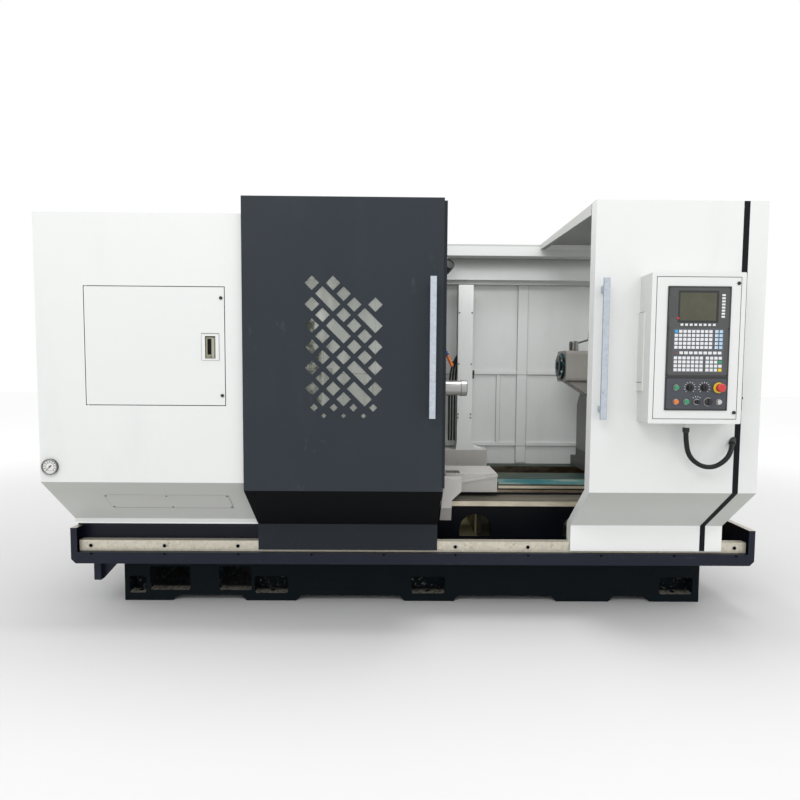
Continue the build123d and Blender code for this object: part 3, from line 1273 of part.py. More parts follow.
def make_tailstock():
    bottom = WAY_TOP + RUN_GAP
    rear = BED_REAR_Y - 10
    with BuildPart() as tailstock:
        block(TAIL_BASE_X, (BED_FRONT_Y + WAY_BEVEL[0], rear), (bottom, TAIL_BASE_TOP))
        with BuildSketch(Plane.YZ.offset(TAIL_X[0])):
            outline(
                [
                    (TAIL_Y[0], TAIL_BASE_TOP),
                    (TAIL_Y[1], TAIL_BASE_TOP),
                    (TAIL_Y[1], 1130),
                    (SPINDLE_Y + BARREL_HALF, SPINDLE_Z - BARREL_HALF),
                    (SPINDLE_Y - BARREL_HALF, SPINDLE_Z - BARREL_HALF),
                    (TAIL_Y[0], 1130),
                ]
            )
        extrude(amount=TAIL_X[1] - TAIL_X[0])
        with BuildSketch(Plane.YZ.offset(BARREL_X[0])):
            with Locations((SPINDLE_Y, SPINDLE_Z)):
                corners = RectangleRounded(2 * BARREL_HALF, 2 * BARREL_HALF, BARREL_CHAMFER)
        extrude(amount=BARREL_X[1] - BARREL_X[0])
        with BuildSketch(Plane.XZ.offset(-SPINDLE_Y - 70)):
            under = SPINDLE_Z - BARREL_HALF
            outline([(BARREL_X[0] + 26, under), (TAIL_X[0], under - 98), (TAIL_X[0], under)])
        extrude(amount=140)
        spindle_rod((CAP_LEFT, BARREL_X[0]), CAP_R, SPINDLE_Y, SPINDLE_Z)
        spindle_rod((CAP_LEFT, BARREL_X[1] - 60), QUILL_R, SPINDLE_Y, SPINDLE_Z, Mode.SUBTRACT)
        spindle_rod((BARREL_X[1] - 60, BARREL_X[1]), QUILL_SCREW_R + FIT_GAP, SPINDLE_Y, SPINDLE_Z, Mode.SUBTRACT)
        stud = (SPINDLE_Z + BARREL_HALF - 12, SPINDLE_Z + BARREL_HALF + 1)
        post(CLAMP_X, SPINDLE_Y, stud, 10 + FIT_GAP, Mode.SUBTRACT)
    save(tailstock.part, "tailstock")


def make_quill():
    outer = QUILL_R - FIT_GAP
    quill = turned(
        [
            (QUILL_NOSE, TAPER_MOUTH_R),
            (QUILL_NOSE, outer - 5),
            (QUILL_NOSE + 5, outer),
            (QUILL_REAR, outer),
            (QUILL_REAR, QUILL_SCREW_R + FIT_GAP),
            (QUILL_NOSE + TAPER_LENGTH, QUILL_SCREW_R + FIT_GAP),
            (QUILL_NOSE + TAPER_LENGTH, TAPER_END_R),
        ],
        SPINDLE_Y,
        SPINDLE_Z,
    )
    save(quill, "quill")


def make_handwheel():
    hub = (BARREL_X[1] + RUN_GAP, WHEEL_X + 22)
    with BuildPart() as handwheel:
        with Locations(Location((WHEEL_X, SPINDLE_Y, SPINDLE_Z), (0, 90, 0))):
            Torus(WHEEL_R - WHEEL_RIM_R, WHEEL_RIM_R)
        for index in range(3):
            angle = 90 + 120 * index
            middle = (WHEEL_R - WHEEL_RIM_R) / 2
            centre = (
                WHEEL_X,
                SPINDLE_Y + middle * cos(radians(angle)),
                SPINDLE_Z + middle * sin(radians(angle)),
            )
            with Locations(Location(centre, (angle - 90, 0, 0))):
                Box(12, 24, WHEEL_R - WHEEL_RIM_R)
        spindle_rod(hub, WHEEL_HUB_R, SPINDLE_Y, SPINDLE_Z)
        spindle_rod((QUILL_NOSE + TAPER_LENGTH + 160, hub[1]), QUILL_SCREW_R, SPINDLE_Y, SPINDLE_Z)
        grip_z = SPINDLE_Z - WHEEL_R + WHEEL_RIM_R
        spindle_rod((WHEEL_X, WHEEL_X + 95), 9, SPINDLE_Y, grip_z)
        spindle_rod((WHEEL_X + 18, WHEEL_X + 92), 14, SPINDLE_Y, grip_z)
    save(handwheel.part, "handwheel")


def make_clamp_lever():
    """A clamp nut with a bent lever, on a stud in the barrel."""
    top = SPINDLE_Z + BARREL_HALF
    seat = top + RUN_GAP
    lever_z = seat + 44
    with BuildPart() as clamp_lever:
        post(CLAMP_X, SPINDLE_Y, (seat, seat + 64), CLAMP_R)
        fillet(clamp_lever.edges().group_by(Axis.Z)[-1], 9)
        fillet(clamp_lever.edges().group_by(Axis.Z)[0], 5)
        post(CLAMP_X, SPINDLE_Y, (top - 11, seat + 10), 10)
        with BuildLine(Plane.XZ.offset(-SPINDLE_Y)):
            FilletPolyline(
                (CLAMP_X, lever_z),
                (CLAMP_X + 97, lever_z + 30),
                (CLAMP_X + 103, lever_z + 108),
                radius=14,
            )
        with BuildSketch(Plane(origin=(CLAMP_X, SPINDLE_Y, lever_z), x_dir=(0, 1, 0), z_dir=(97, 0, 30))):
            Circle(6)
        sweep()
    save(clamp_lever.part, "clamp_lever")


# Control box


def box_opening():
    """Spans of the opening in the box's front rim."""
    x = (BOX_X[0] + BOX_RIM, BOX_X[1] - BOX_RIM)
    z = (BOX_Z[0] + BOX_RIM, BOX_Z[1] - BOX_RIM)
    return x, z


def make_box_shell():
    open_x, open_z = box_opening()
    inner_x = (BOX_X[0] + SHEET, BOX_X[1] - SHEET)
    inner_z = (BOX_Z[0] + SHEET, BOX_Z[1] - SHEET)
    pivot_x = open_x[0] + BOX_DOOR_GAP + PIVOT_INSET
    pivot_y = BOX_FRONT_Y + PIVOT_INSET
    pin_z = (open_z[0] + BOX_DOOR_GAP - ACCESS_GAP - SHEET, open_z[1] - BOX_DOOR_GAP + ACCESS_GAP + SHEET)
    with BuildPart() as box_shell:
        block(BOX_X, (BOX_FRONT_Y, FRONT_Y), BOX_Z)
        fillet(box_shell.edges().filter_by(Axis.Y), 6)
        block(inner_x, (BOX_FRONT_Y + SHEET, FRONT_Y - SHEET), inner_z, Mode.SUBTRACT)
        block(open_x, (BOX_FRONT_Y, BOX_FRONT_Y + SHEET), open_z, Mode.SUBTRACT)
        for z in ((open_z[0] - SHEET * 2, open_z[0]), (open_z[1], open_z[1] + SHEET * 2)):
            block((open_x[0], open_x[0] + 40), (BOX_FRONT_Y + SHEET, BOX_FRONT_Y + 16), z)
        post(pivot_x, pivot_y, pin_z, PIVOT_R + FIT_GAP, Mode.SUBTRACT)
        # Mounting plate and hinge marks on the left side
        block((BOX_X[0] - 6, BOX_X[0]), (FRONT_Y - 60, FRONT_Y), (BOX_Z[0] + 150, BOX_Z[1] - 180))
        # Strip with a round cap on the right side
        block((BOX_X[1], BOX_X[1] + 8), (BOX_FRONT_Y + 30, BOX_FRONT_Y + 62), (1180, 1330))
        spindle_rod((BOX_X[1] + 8, BOX_X[1] + 20), 12, BOX_FRONT_Y + 46, 1258)
        post(CONDUIT_ROUTE[0][0], CONDUIT_ROUTE[0][1], (BOX_Z[0] - 1, BOX_Z[0] + SHEET), 8, Mode.SUBTRACT)
    save(box_shell.part, "box_shell")


def make_box_door():
    open_x, open_z = box_opening()
    door_x = (open_x[0] + BOX_DOOR_GAP, open_x[1] - BOX_DOOR_GAP)
    door_z = (open_z[0] + BOX_DOOR_GAP, open_z[1] - BOX_DOOR_GAP)
    window_x = (BEZEL_X[0] + 6, BEZEL_X[1] - 6)
    window_z = (PANEL_Z[0] + 6, BEZEL_Z[1] - 6)
    skin = (BOX_FRONT_Y, BOX_FRONT_Y + SHEET)
    rim_inset = 22
    with BuildPart() as box_door:
        block(door_x, skin, door_z)
        with BuildSketch(Plane.XZ.offset(-skin[1])):
            with Locations(((door_x[0] + door_x[1]) / 2, (door_z[0] + door_z[1]) / 2)):
                width = door_x[1] - door_x[0] - 2 * rim_inset
                height = door_z[1] - door_z[0] - 2 * rim_inset
                Rectangle(width, height)
                Rectangle(width - 2 * SHEET, height - 2 * SHEET, mode=Mode.SUBTRACT)
        extrude(amount=-12)
        block(window_x, skin, window_z, Mode.SUBTRACT)
        pivot_pins(door_x[0] + PIVOT_INSET, BOX_FRONT_Y + PIVOT_INSET, door_z)
    save(box_door.part, "box_door")


def key_pads():
    """Centres of the small keys by size: the letter block, the middle row and the lower block."""
    letters, middle, lower = [], [], []
    for row in range(5):
        for column in range(11):
            gap = 8 if column > 8 else 0
            letters.append((1204.5 + column * 20.3 + gap, 1548 - row * 18.6))
    for column in range(10):
        middle.append((1208 + column * 22.6, 1448))
    for row in range(4):
        for column in range(11):
            gap = 8 if column > 6 else 0
            lower.append((1204.5 + column * 20.3 + gap, 1424 - row * 18.6))
    return letters + lower, middle


def make_cnc_unit():
    front = BEZEL_FRONT_Y
    square_keys, wide_keys = key_pads()
    soft_side = [((SCREEN_X[1] + BEZEL_X[1]) / 2 - 3, 1717 - 14.3 * i) for i in range(8)]
    soft_below = [(1229 + 21.7 * i, 1579) for i in range(8)]
    with BuildPart() as cnc_unit:
        block(BEZEL_X, (front, BOX_FRONT_Y), BEZEL_Z)
        fillet(cnc_unit.edges().filter_by(Axis.Y), 3)
        inside_x = (BEZEL_X[0] + 7, BEZEL_X[1] - 7)
        inside_z = (BEZEL_Z[0] + 1, BEZEL_Z[1] - 7)
        block(inside_x, (BOX_FRONT_Y, BOX_FRONT_Y + UNIT_DEPTH), inside_z)
        block(SCREEN_X, (front, front + SCREEN_RECESS), SCREEN_Z, Mode.SUBTRACT)
        with BuildSketch(Plane.XZ.offset(-front)):
            with Locations(*square_keys):
                Rectangle(15.5, 13.5)
            with Locations(*wide_keys):
                Rectangle(17, 13)
            with Locations(*soft_side):
                Rectangle(16, 9)
            with Locations(*soft_below):
                Rectangle(13, 10)
            with Locations((1181, 1664)):
                RectangleRounded(34, 92, 3)
            with Locations((1210, 1609)):
                Circle(5)
        extrude(amount=KEY_PROUD)
    save(cnc_unit.part, "cnc_unit")
    with BuildPart() as cnc_screen:
        gap = RUN_GAP
        block(
            (SCREEN_X[0] + gap, SCREEN_X[1] - gap),
            (front + 1, front + SCREEN_RECESS),
            (SCREEN_Z[0] + gap, SCREEN_Z[1] - gap),
        )
    save(cnc_screen.part, "cnc_screen")


def controls():
    """Every control on the operator panel as its place and its collar radius."""
    upper = [(START_X, BUTTON_RING_R), (FEED_X, 17), (SPEED_X, 17), (ESTOP_X, ESTOP_RING_R)]
    lower = [(STOP_X, BUTTON_RING_R), (LAMP_X, BUTTON_RING_R), (MODE_X, 15), (JOG_X, 21), (RESET_X, BUTTON_RING_R)]
    return [(x, UPPER_ROW_Z, r) for x, r in upper] + [(x, LOWER_ROW_Z, r) for x, r in lower]


def make_operator_panel():
    front = BEZEL_FRONT_Y
    with BuildPart() as operator_panel:
        block(BEZEL_X, (front, BOX_FRONT_Y), (PANEL_Z[0], PANEL_Z[1] - RUN_GAP))
        fillet(operator_panel.edges().filter_by(Axis.Y), 3)
        block(
            (BEZEL_X[0] + 7, BEZEL_X[1] - 7),
            (BOX_FRONT_Y, BOX_FRONT_Y + 8),
            (PANEL_Z[0] + 7, PANEL_Z[1] - 7),
        )
        for x, z, collar_r in controls():
            front_rod(x, z, collar_r, front - 2, front)
            front_rod(x, z, STEM_R + RUN_GAP, front - 2, BOX_FRONT_Y + 8, Mode.SUBTRACT)
    save(operator_panel.part, "operator_panel")


def stem(x, z):
    """The round stem of a control, through the operator panel."""
    front_rod(x, z, STEM_R, BEZEL_FRONT_Y - 8, BOX_FRONT_Y + 14)


def make_push_button(x, z, name):
    with BuildPart() as button:
        stem(x, z)
        front_rod(x, z, BUTTON_R, BEZEL_FRONT_Y - 13, BEZEL_FRONT_Y - 8)
        fillet(button.edges().group_by(Axis.Y)[0], 1.5)
    save(button.part, name)


def make_knob(x, z, radius, reach, name):
    """A round knob with a raised pointer bar."""
    face = BEZEL_FRONT_Y - 2 - RUN_GAP
    with BuildPart() as knob:
        stem(x, z)
        front_rod(x, z, radius, face - reach, face)
        chamfer(knob.edges().group_by(Axis.Y)[0], 1.5)
        block((x - 3, x + 3), (face - reach - 5, face - reach + 1), (z - radius + 2, z + radius - 2))
    save(knob.part, name)


def make_estop():
    with BuildPart() as estop:
        stem(ESTOP_X, UPPER_ROW_Z)
        front = BEZEL_FRONT_Y - ESTOP_REACH
        front_rod(ESTOP_X, UPPER_ROW_Z, 12, BEZEL_FRONT_Y - 20, BEZEL_FRONT_Y - 8)
        front_rod(ESTOP_X, UPPER_ROW_Z, ESTOP_R, front, front + 17)
        fillet(estop.edges().group_by(Axis.Y)[0], 6)
    save(estop.part, "estop_button")


def make_controls():
    make_push_button(START_X, UPPER_ROW_Z, "start_button")
    make_push_button(STOP_X, LOWER_ROW_Z, "stop_button")
    make_push_button(LAMP_X, LOWER_ROW_Z, "lamp_button")
    make_push_button(RESET_X, LOWER_ROW_Z, "reset_button")
    make_knob(FEED_X, UPPER_ROW_Z, 13, 15, "feed_knob")
    make_knob(SPEED_X, UPPER_ROW_Z, 13, 15, "speed_knob")
    make_knob(MODE_X, LOWER_ROW_Z, 11, 14, "mode_selector")
    make_knob(JOG_X, LOWER_ROW_Z, 18, 10, "jog_dial")
    make_estop()


# Conduit


def route_radii(route):
    """The largest arc that each corner's two runs allow."""
    points = [Vector(*p) for p in route]
    radii = []
    for before, corner, after in zip(points, points[1:], points[2:]):
        first, second = corner - before, after - corner
        turn = radians(first.get_angle(second))
        radii.append(0.45 * min(first.length, second.length) / tan(turn / 2))
    return radii


def make_conduit():
    radii = route_radii(CONDUIT_ROUTE)
    start, following = Vector(*CONDUIT_ROUTE[0]), Vector(*CONDUIT_ROUTE[1])
    with BuildPart() as conduit:
        with BuildLine() as path:
            FilletPolyline(*CONDUIT_ROUTE, radius=radii)
        with BuildSketch(Plane(origin=start, z_dir=following - start)):
            Circle(CONDUIT_R)
        sweep()
    length = path.wires()[0].length
    section = pi * CONDUIT_R**2
    print("conduit radii", [round(r) for r in radii], "length", round(length))
    print("conduit volume", round(conduit.part.volume), "section times length", round(section * length))
    save(conduit.part, "conduit")
    return Vector(*CONDUIT_ROUTE[-1]) - Vector(*CONDUIT_ROUTE[-2])


def make_cable_glands(last_run):
    """A nut and dome under the box, and a collar where the conduit enters the hood."""
    top_x, top_y, top_z = CONDUIT_ROUTE[0]
    end = Vector(*CONDUIT_ROUTE[-1])
    inward = last_run.normalized()
    to_hood = (FRONT_Y - end.Y) / inward.Y
    with BuildPart() as cable_glands:
        with BuildSketch(Plane.XY.offset(BOX_Z[0] - GLAND_LENGTH)):
            with Locations((top_x, top_y)):
                RegularPolygon(GLAND_R + 1, 6)
        extrude(amount=GLAND_LENGTH)
        post(top_x, top_y, (top_z, BOX_Z[0] - GLAND_LENGTH), GLAND_R - 3)
        with BuildSketch(Plane(origin=end, z_dir=inward)):
            Circle(CONDUIT_R + 4)
        extrude(amount=to_hood + 12)
        block((end.X - 60, end.X + 80), (FRONT_Y, FRONT_Y + 60), (end.Z - 60, end.Z + 80), Mode.SUBTRACT)
    save(cable_glands.part, "cable_glands")


make_bed_base()
make_chip_tray()
make_door_rail()
make_bed()
make_drip_shelf()
make_headstock()
make_spindle_bearings()
make_spindle()
make_pulleys()
make_drive_belts()
make_main_motor()
make_chuck_body()
make_jaws()
make_housing_shell(make_housing_front())
make_slope_cover()
make_access_door()
make_access_latch()
make_gauge()
make_door()
make_hood()
make_roof(DOOR_X, "door_roof", 12)
make_roof(HOOD_X, "hood_roof", 30)
make_handle(DOOR_HANDLE_X, "door_handle")
make_handle(HOOD_HANDLE_X, "hood_handle")
make_top_beam()
make_rear_wall()
make_electrical_cabinet()
make_saddle()
make_cable_mast()
make_feed_drive()
make_cross_slide()
make_turret()
make_tailstock()
make_quill()
make_handwheel()
make_clamp_lever()
make_box_shell()
make_box_door()
make_cnc_unit()
make_operator_panel()
make_controls()
make_cable_glands(make_conduit())
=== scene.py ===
"""The look of the turning lathe: paints, castings, small fittings, lights and camera."""

from math import atan2, cos, pi, radians, sin, tan

import bmesh
import bpy
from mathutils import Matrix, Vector


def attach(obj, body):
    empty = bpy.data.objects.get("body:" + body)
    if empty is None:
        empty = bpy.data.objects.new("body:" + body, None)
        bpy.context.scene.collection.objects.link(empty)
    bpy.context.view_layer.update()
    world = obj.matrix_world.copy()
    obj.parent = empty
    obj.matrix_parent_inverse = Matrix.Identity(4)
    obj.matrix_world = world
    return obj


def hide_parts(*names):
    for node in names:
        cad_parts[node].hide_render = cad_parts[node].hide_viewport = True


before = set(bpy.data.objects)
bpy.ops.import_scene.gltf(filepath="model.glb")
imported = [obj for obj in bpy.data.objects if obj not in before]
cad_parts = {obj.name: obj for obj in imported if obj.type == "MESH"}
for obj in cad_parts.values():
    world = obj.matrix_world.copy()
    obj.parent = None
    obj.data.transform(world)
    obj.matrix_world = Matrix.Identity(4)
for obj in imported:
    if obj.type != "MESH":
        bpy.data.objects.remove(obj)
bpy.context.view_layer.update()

# Planes and edges taken over from the CAD part, in metres
FRONT_Y = -0.695
HOUSING_Y = FRONT_Y + 0.020
SKIRT_Y = FRONT_Y + 0.275
BOX_FRONT_Y = FRONT_Y - 0.122
UNIT_FRONT_Y = BOX_FRONT_Y - 0.004
RAIL_FRONT_Y = FRONT_Y + 0.284
RAIL_SCREW_Z = 0.3855
TRAY_FRONT_Y = FRONT_Y + 0.256
TRAY_PLUG_Z = 0.3485
MAST_FRONT_Y = 0.4115
QUILL_CAP_X = 0.9675
QUILL_CAP_CIRCLE = 0.073
TOP_Z = 2.190
GAUGE_X = -1.820
GAUGE_Z = 0.867
FOLD_Z = 0.755
SKIRT_TOP_Z = 0.512
SKIRT_BOTTOM_Z = 0.368
SPINDLE_Y = FRONT_Y + 0.942
SPINDLE_Z = 1.395
BED_WALL_Y = -0.054
STRIPE_X = 1.5915
STRIPE_WIDTH = 0.029


# Shader building


class Link:
    """A shader socket that Python's arithmetic works on."""

    def __init__(self, finish, socket):
        self.finish = finish
        self.socket = socket

    def math(self, operation, *others):
        values = dict(enumerate([self, *others]))
        return self.finish.add("ShaderNodeMath", {"operation": operation}, values)

    def __add__(self, other):
        return self.math("ADD", other)

    __radd__ = __add__

    def __sub__(self, other):
        return self.math("SUBTRACT", other)

    def __rsub__(self, other):
        return self.finish.add("ShaderNodeMath", {"operation": "SUBTRACT"}, {0: other, 1: self})

    def __mul__(self, other):
        return self.math("MULTIPLY", other)

    __rmul__ = __mul__

    def over(self, low, high):
        """0 below low, 1 above high, and smooth between them."""
        return self.finish.add(
            "ShaderNodeMapRange",
            {"interpolation_type": "SMOOTHSTEP", "clamp": True},
            {"Value": self, "From Min": low, "From Max": high},
        )

    def under(self, low, high):
        """1 below low, 0 above high, and smooth between them."""
        return 1 - self.over(low, high)

    def past(self, edge, soft=0.0005):
        """0 up to an edge and 1 beyond it."""
        return self.over(edge - soft, edge + soft)

    def before(self, edge, soft=0.0005):
        """1 up to an edge and 0 beyond it."""
        return self.under(edge - soft, edge + soft)

    def between(self, low, high, soft=0.0004):
        """1 from one edge to the other and 0 outside them."""
        return self.past(low, soft) * self.before(high, soft)

    def most(self, other):
        return self.math("MAXIMUM", other)

    def minus(self):
        """1 where this part of a normal is close to -1."""
        return self.under(-0.9, -0.7)


class Finish:
    """One procedural material with a Principled shader at its end."""

    def __init__(self, name):
        self.material = bpy.data.materials.new(name)
        self.material.use_nodes = True
        self.tree = self.material.node_tree
        self.shader = self.tree.nodes["Principled BSDF"]
        self.place = self.add("ShaderNodeTexCoord", out="Object")
        self.x, self.y, self.z = self.split(self.place)
        self.nx, self.ny, self.nz = self.split(self.add("ShaderNodeNewGeometry", out="Normal"))

    def feed(self, node, values):
        """Link a socket to each named input, or set its value."""
        for key, value in values.items():
            if isinstance(value, Link):
                self.tree.links.new(value.socket, node.inputs[key])
            else:
                node.inputs[key].default_value = value

    def add(self, kind, settings=None, values=None, out=0):
        node = self.tree.nodes.new(kind)
        for name, value in (settings or {}).items():
            setattr(node, name, value)
        self.feed(node, values or {})
        return Link(self, node.outputs[out])

    def split(self, vector):
        """The three parts of a vector."""
        node = self.add("ShaderNodeSeparateXYZ", values={0: vector}).socket.node
        return [Link(self, socket) for socket in node.outputs]

    def noise(self, scale, detail=3.0, rough=0.5, stretch=None):
        place = self.place
        if stretch:
            place = self.add("ShaderNodeMapping", values={"Vector": self.place, "Scale": stretch})
        values = {"Vector": place, "Scale": scale, "Detail": detail, "Roughness": rough}
        return self.add("ShaderNodeTexNoise", values=values, out="Fac")

    def scratches(self, scale, stretch):
        """Thin streaks: only the peaks of a stretched noise."""
        return self.noise(scale, 4.0, 0.65, stretch).over(0.60, 0.74)

    def grain(self):
        """The fine texture of baked powder paint."""
        return self.bump(self.noise(520.0, 2.0), 0.00035, 0.5)

    def white_coat(self):
        """Clouded white of the small painted sheets."""
        return self.mix(self.noise(1.7, 4.0, 0.6) * 0.3, (0.69, 0.70, 0.69), (0.61, 0.625, 0.62))

    def slope_shade(self, tone):
        """Painted shade: the tone made darker on the folded slopes that face down, most of all under their
        upper fold.
        """
        slope = self.nz.under(-0.6, -0.4) * self.nz.over(-0.98, -0.90)
        return self.mix(slope * (0.45 + self.z.over(0.60, FOLD_Z) * 0.25), tone, (0.40, 0.41, 0.37))

    def mix(self, factor, low, high):
        low = low if isinstance(low, Link) else (*low, 1)
        high = high if isinstance(high, Link) else (*high, 1)
        return self.add("ShaderNodeMix", {"data_type": "RGBA"}, {0: factor, 6: low, 7: high}, out=2)

    def bump(self, height, distance, strength=1.0, normal=None):
        values = {"Height": height, "Distance": distance, "Strength": strength}
        if normal:
            values["Normal"] = normal
        return self.add("ShaderNodeBump", values=values)

    def field(self, left, right, low, high, soft=0.0004):
        """1 inside an upright rectangle."""
        return self.x.between(left, right, soft) * self.z.between(low, high, soft)

    def proud(self):
        """1 on what stands out from the control unit's face."""
        return self.y.under(UNIT_FRONT_Y - 0.0012, UNIT_FRONT_Y - 0.0008)

    def done(self, color, rough, metal=0.0, normal=None, coat=0.0, alpha=None, shine=0.5):
        values = {"Base Color": color, "Roughness": rough, "Metallic": metal, "Specular IOR Level": shine}
        if normal:
            values["Normal"] = normal
        if coat:
            values.update({"Coat Weight": coat, "Coat Roughness": 0.12})
        if alpha is not None:
            values["Alpha"] = alpha
        self.feed(self.shader, values)
        return self.material


def white_finish():
    """Baked textured paint with faint handling marks, dust towards its foot, painted shade on its downward
    slopes and painted light on the upright face below them.
    """
    f = Finish("white_coat")
    cloud = f.noise(1.7, 4.0, 0.6)
    smear = f.noise(5.0, 5.0, 0.6, (1.0, 1.0, 0.25)).over(0.52, 0.75)
    dust = f.z.under(0.10, 0.45) * f.noise(9.0, 5.0, 0.7).over(0.45, 0.7)
    tone = f.mix(cloud * 0.35 + smear * 0.25, (0.70, 0.71, 0.70), (0.60, 0.615, 0.61))
    # Painted shade on the slopes that face down
    tone = f.slope_shade(f.mix(dust * 0.35, tone, (0.36, 0.34, 0.30)))
    # Painted light: the upright front face under the slope made paler
    skirt = f.z.under(SKIRT_TOP_Z, SKIRT_TOP_Z + 0.002) * f.ny.minus()
    tone = f.mix(skirt * 0.6, tone, (0.92, 0.93, 0.92))
    waves = f.noise(2.6, 2.0, 0.4)
    return f.done(tone, 0.42 + cloud * 0.12 - smear * 0.08, normal=f.bump(waves, 0.0025, 0.35, f.grain()))


def charcoal_finish():
    """Dark textured powder coat with painted shade where it leans down and on the upright face below, and a
    few handling scuffs.
    """
    f = Finish("charcoal_coat")
    cloud = f.noise(1.9, 4.0, 0.6)
    haze = f.noise(4.2, 5.0, 0.6, (1.0, 1.0, 0.3)).over(0.45, 0.75)
    scuff = f.scratches(17.0, (1.4, 1.0, 0.5)) * f.noise(2.4).over(0.52, 0.64)
    tone = f.mix(cloud, (0.021, 0.027, 0.034), (0.029, 0.035, 0.043))
    tone = f.mix(haze * 0.25, tone, (0.040, 0.047, 0.056))
    tone = f.mix(scuff * 0.20, tone, (0.14, 0.15, 0.16))
    # Painted shade: the faces that lean down made nearly black
    under = f.nz.under(-0.5, -0.2)
    tone = f.mix(under, tone, (0.0008, 0.0012, 0.002))
    # Painted shade on the upright face under the slope
    tone = f.mix(f.z.under(SKIRT_TOP_Z, SKIRT_TOP_Z + 0.002) * 0.5, tone, (0.008, 0.011, 0.016))
    normal = f.bump(f.noise(2.6, 2.0, 0.4), 0.0025, 0.35, f.grain())
    return f.done(tone, 0.44 + cloud * 0.10 + scuff * 0.1 + under * 0.3, normal=normal, shine=0.14)


def base_finish():
    """Black painted sand casting: bare-metal specks in its pockets and dust on its ledges."""
    f = Finish("base_black")
    cloud = f.noise(4.0, 5.0, 0.6)
    sand = f.noise(95.0, 5.0, 0.65)
    rust = f.noise(16.0, 6.0, 0.7).over(0.64, 0.76)
    dust = f.nz.over(0.5, 0.9) * f.noise(12.0, 4.0).over(0.4, 0.65)
    pocket = f.y.past(-0.227) * f.y.before(0.560) * f.z.before(0.206)
    speck = pocket * f.noise(48.0, 6.0, 0.75).over(0.56, 0.68)
    tone = f.mix(cloud, (0.002, 0.005, 0.007), (0.005, 0.009, 0.012))
    tone = f.mix(rust * 0.15, tone, (0.10, 0.055, 0.03))
    tone = f.mix(dust * 0.3, tone, (0.12, 0.11, 0.10))
    ledge = pocket * f.nz.over(0.4, 0.8) * f.y.under(-0.185, -0.150)
    tone = f.mix(ledge * (0.35 + f.noise(60.0, 5.0, 0.7).over(0.40, 0.62)), tone, (0.30, 0.28, 0.24))
    tone = f.mix(speck * 0.8, tone, (0.26, 0.25, 0.22))
    normal = f.bump(sand, 0.0016, 0.6, f.bump(cloud, 0.006, 0.4))
    normal = f.bump(pocket * f.noise(26.0, 6.0, 0.75), 0.008, 0.8, normal)
    return f.done(tone, 0.52 + sand * 0.2, normal=normal, shine=0.09)


def machine_grey(name, color, shade, arm=None):
    """Filled and painted casting under a thin oily film; the saddle's hanging arm has a colour of its own."""
    f = Finish(name)
    cloud = f.noise(5.0, 5.0, 0.6)
    film = f.noise(11.0, 5.0, 0.65, (1.0, 1.0, 0.4)).over(0.55, 0.72)
    tone = f.mix(cloud * 0.6, color, shade)
    tone = f.mix(film * 0.22, tone, (0.16, 0.15, 0.13))
    if arm:
        tone = f.mix(f.z.under(0.571, 0.573), tone, arm)
    fine = f.noise(240.0, 3.0)
    normal = f.bump(cloud, 0.003, 0.4, f.bump(fine, 0.0004, 0.4))
    return f.done(tone, 0.42 - film * 0.12 + fine * 0.1, normal=normal)


def brushed(name, color, shade, stretch, rough=0.28):
    """Ground or turned steel with tool marks along one way."""
    f = Finish(name)
    grain = f.noise(160.0, 4.0, 0.7, stretch)
    cloud = f.noise(8.0, 4.0, 0.6)
    spot = f.noise(38.0, 6.0, 0.7).over(0.66, 0.78)
    tone = f.mix(grain * 0.7 + cloud * 0.3, color, shade)
    tone = f.mix(spot * 0.35, tone, (0.16, 0.13, 0.10))
    return f.done(tone, rough + grain * 0.16 + spot * 0.2, 0.95, f.bump(grain, 0.0002, 0.4))


def galvanised(name, pale, dull, stained, metal):
    """Zinc plate: large soft spangles, dull streaks and stains."""
    f = Finish(name)
    cells = {"Vector": f.place, "Scale": 75.0, "Randomness": 1.0}
    spangle = f.add("ShaderNodeTexVoronoi", {"feature": "F1"}, cells, out="Color")
    flake = f.add("ShaderNodeSeparateColor", values={"Color": spangle})
    streak = f.noise(13.0, 5.0, 0.65, (0.3, 1.0, 2.0))
    stain = f.noise(24.0, 6.0, 0.7).over(0.56, 0.74)
    tone = f.mix(flake * 0.35 + streak * 0.5, pale, dull)
    tone = f.mix(stain * 0.7, tone, stained)
    return f.done(tone, 0.34 + flake * 0.14 + stain * 0.2, metal, f.bump(streak, 0.0005, 0.4))


def moulded(name, color, rough=0.38, coat=0.0, metal=0.0, shine=0.5):
    """Moulded plastic with a fine eroded texture."""
    f = Finish(name)
    shade = tuple(c * 0.72 for c in color)
    cloud = f.noise(30.0, 3.0)
    fine = f.noise(900.0, 2.0)
    tone = f.mix(cloud * 0.5, color, shade)
    return f.done(tone, rough + fine * 0.12, metal, f.bump(fine, 0.0001, 0.3), coat, shine=shine)


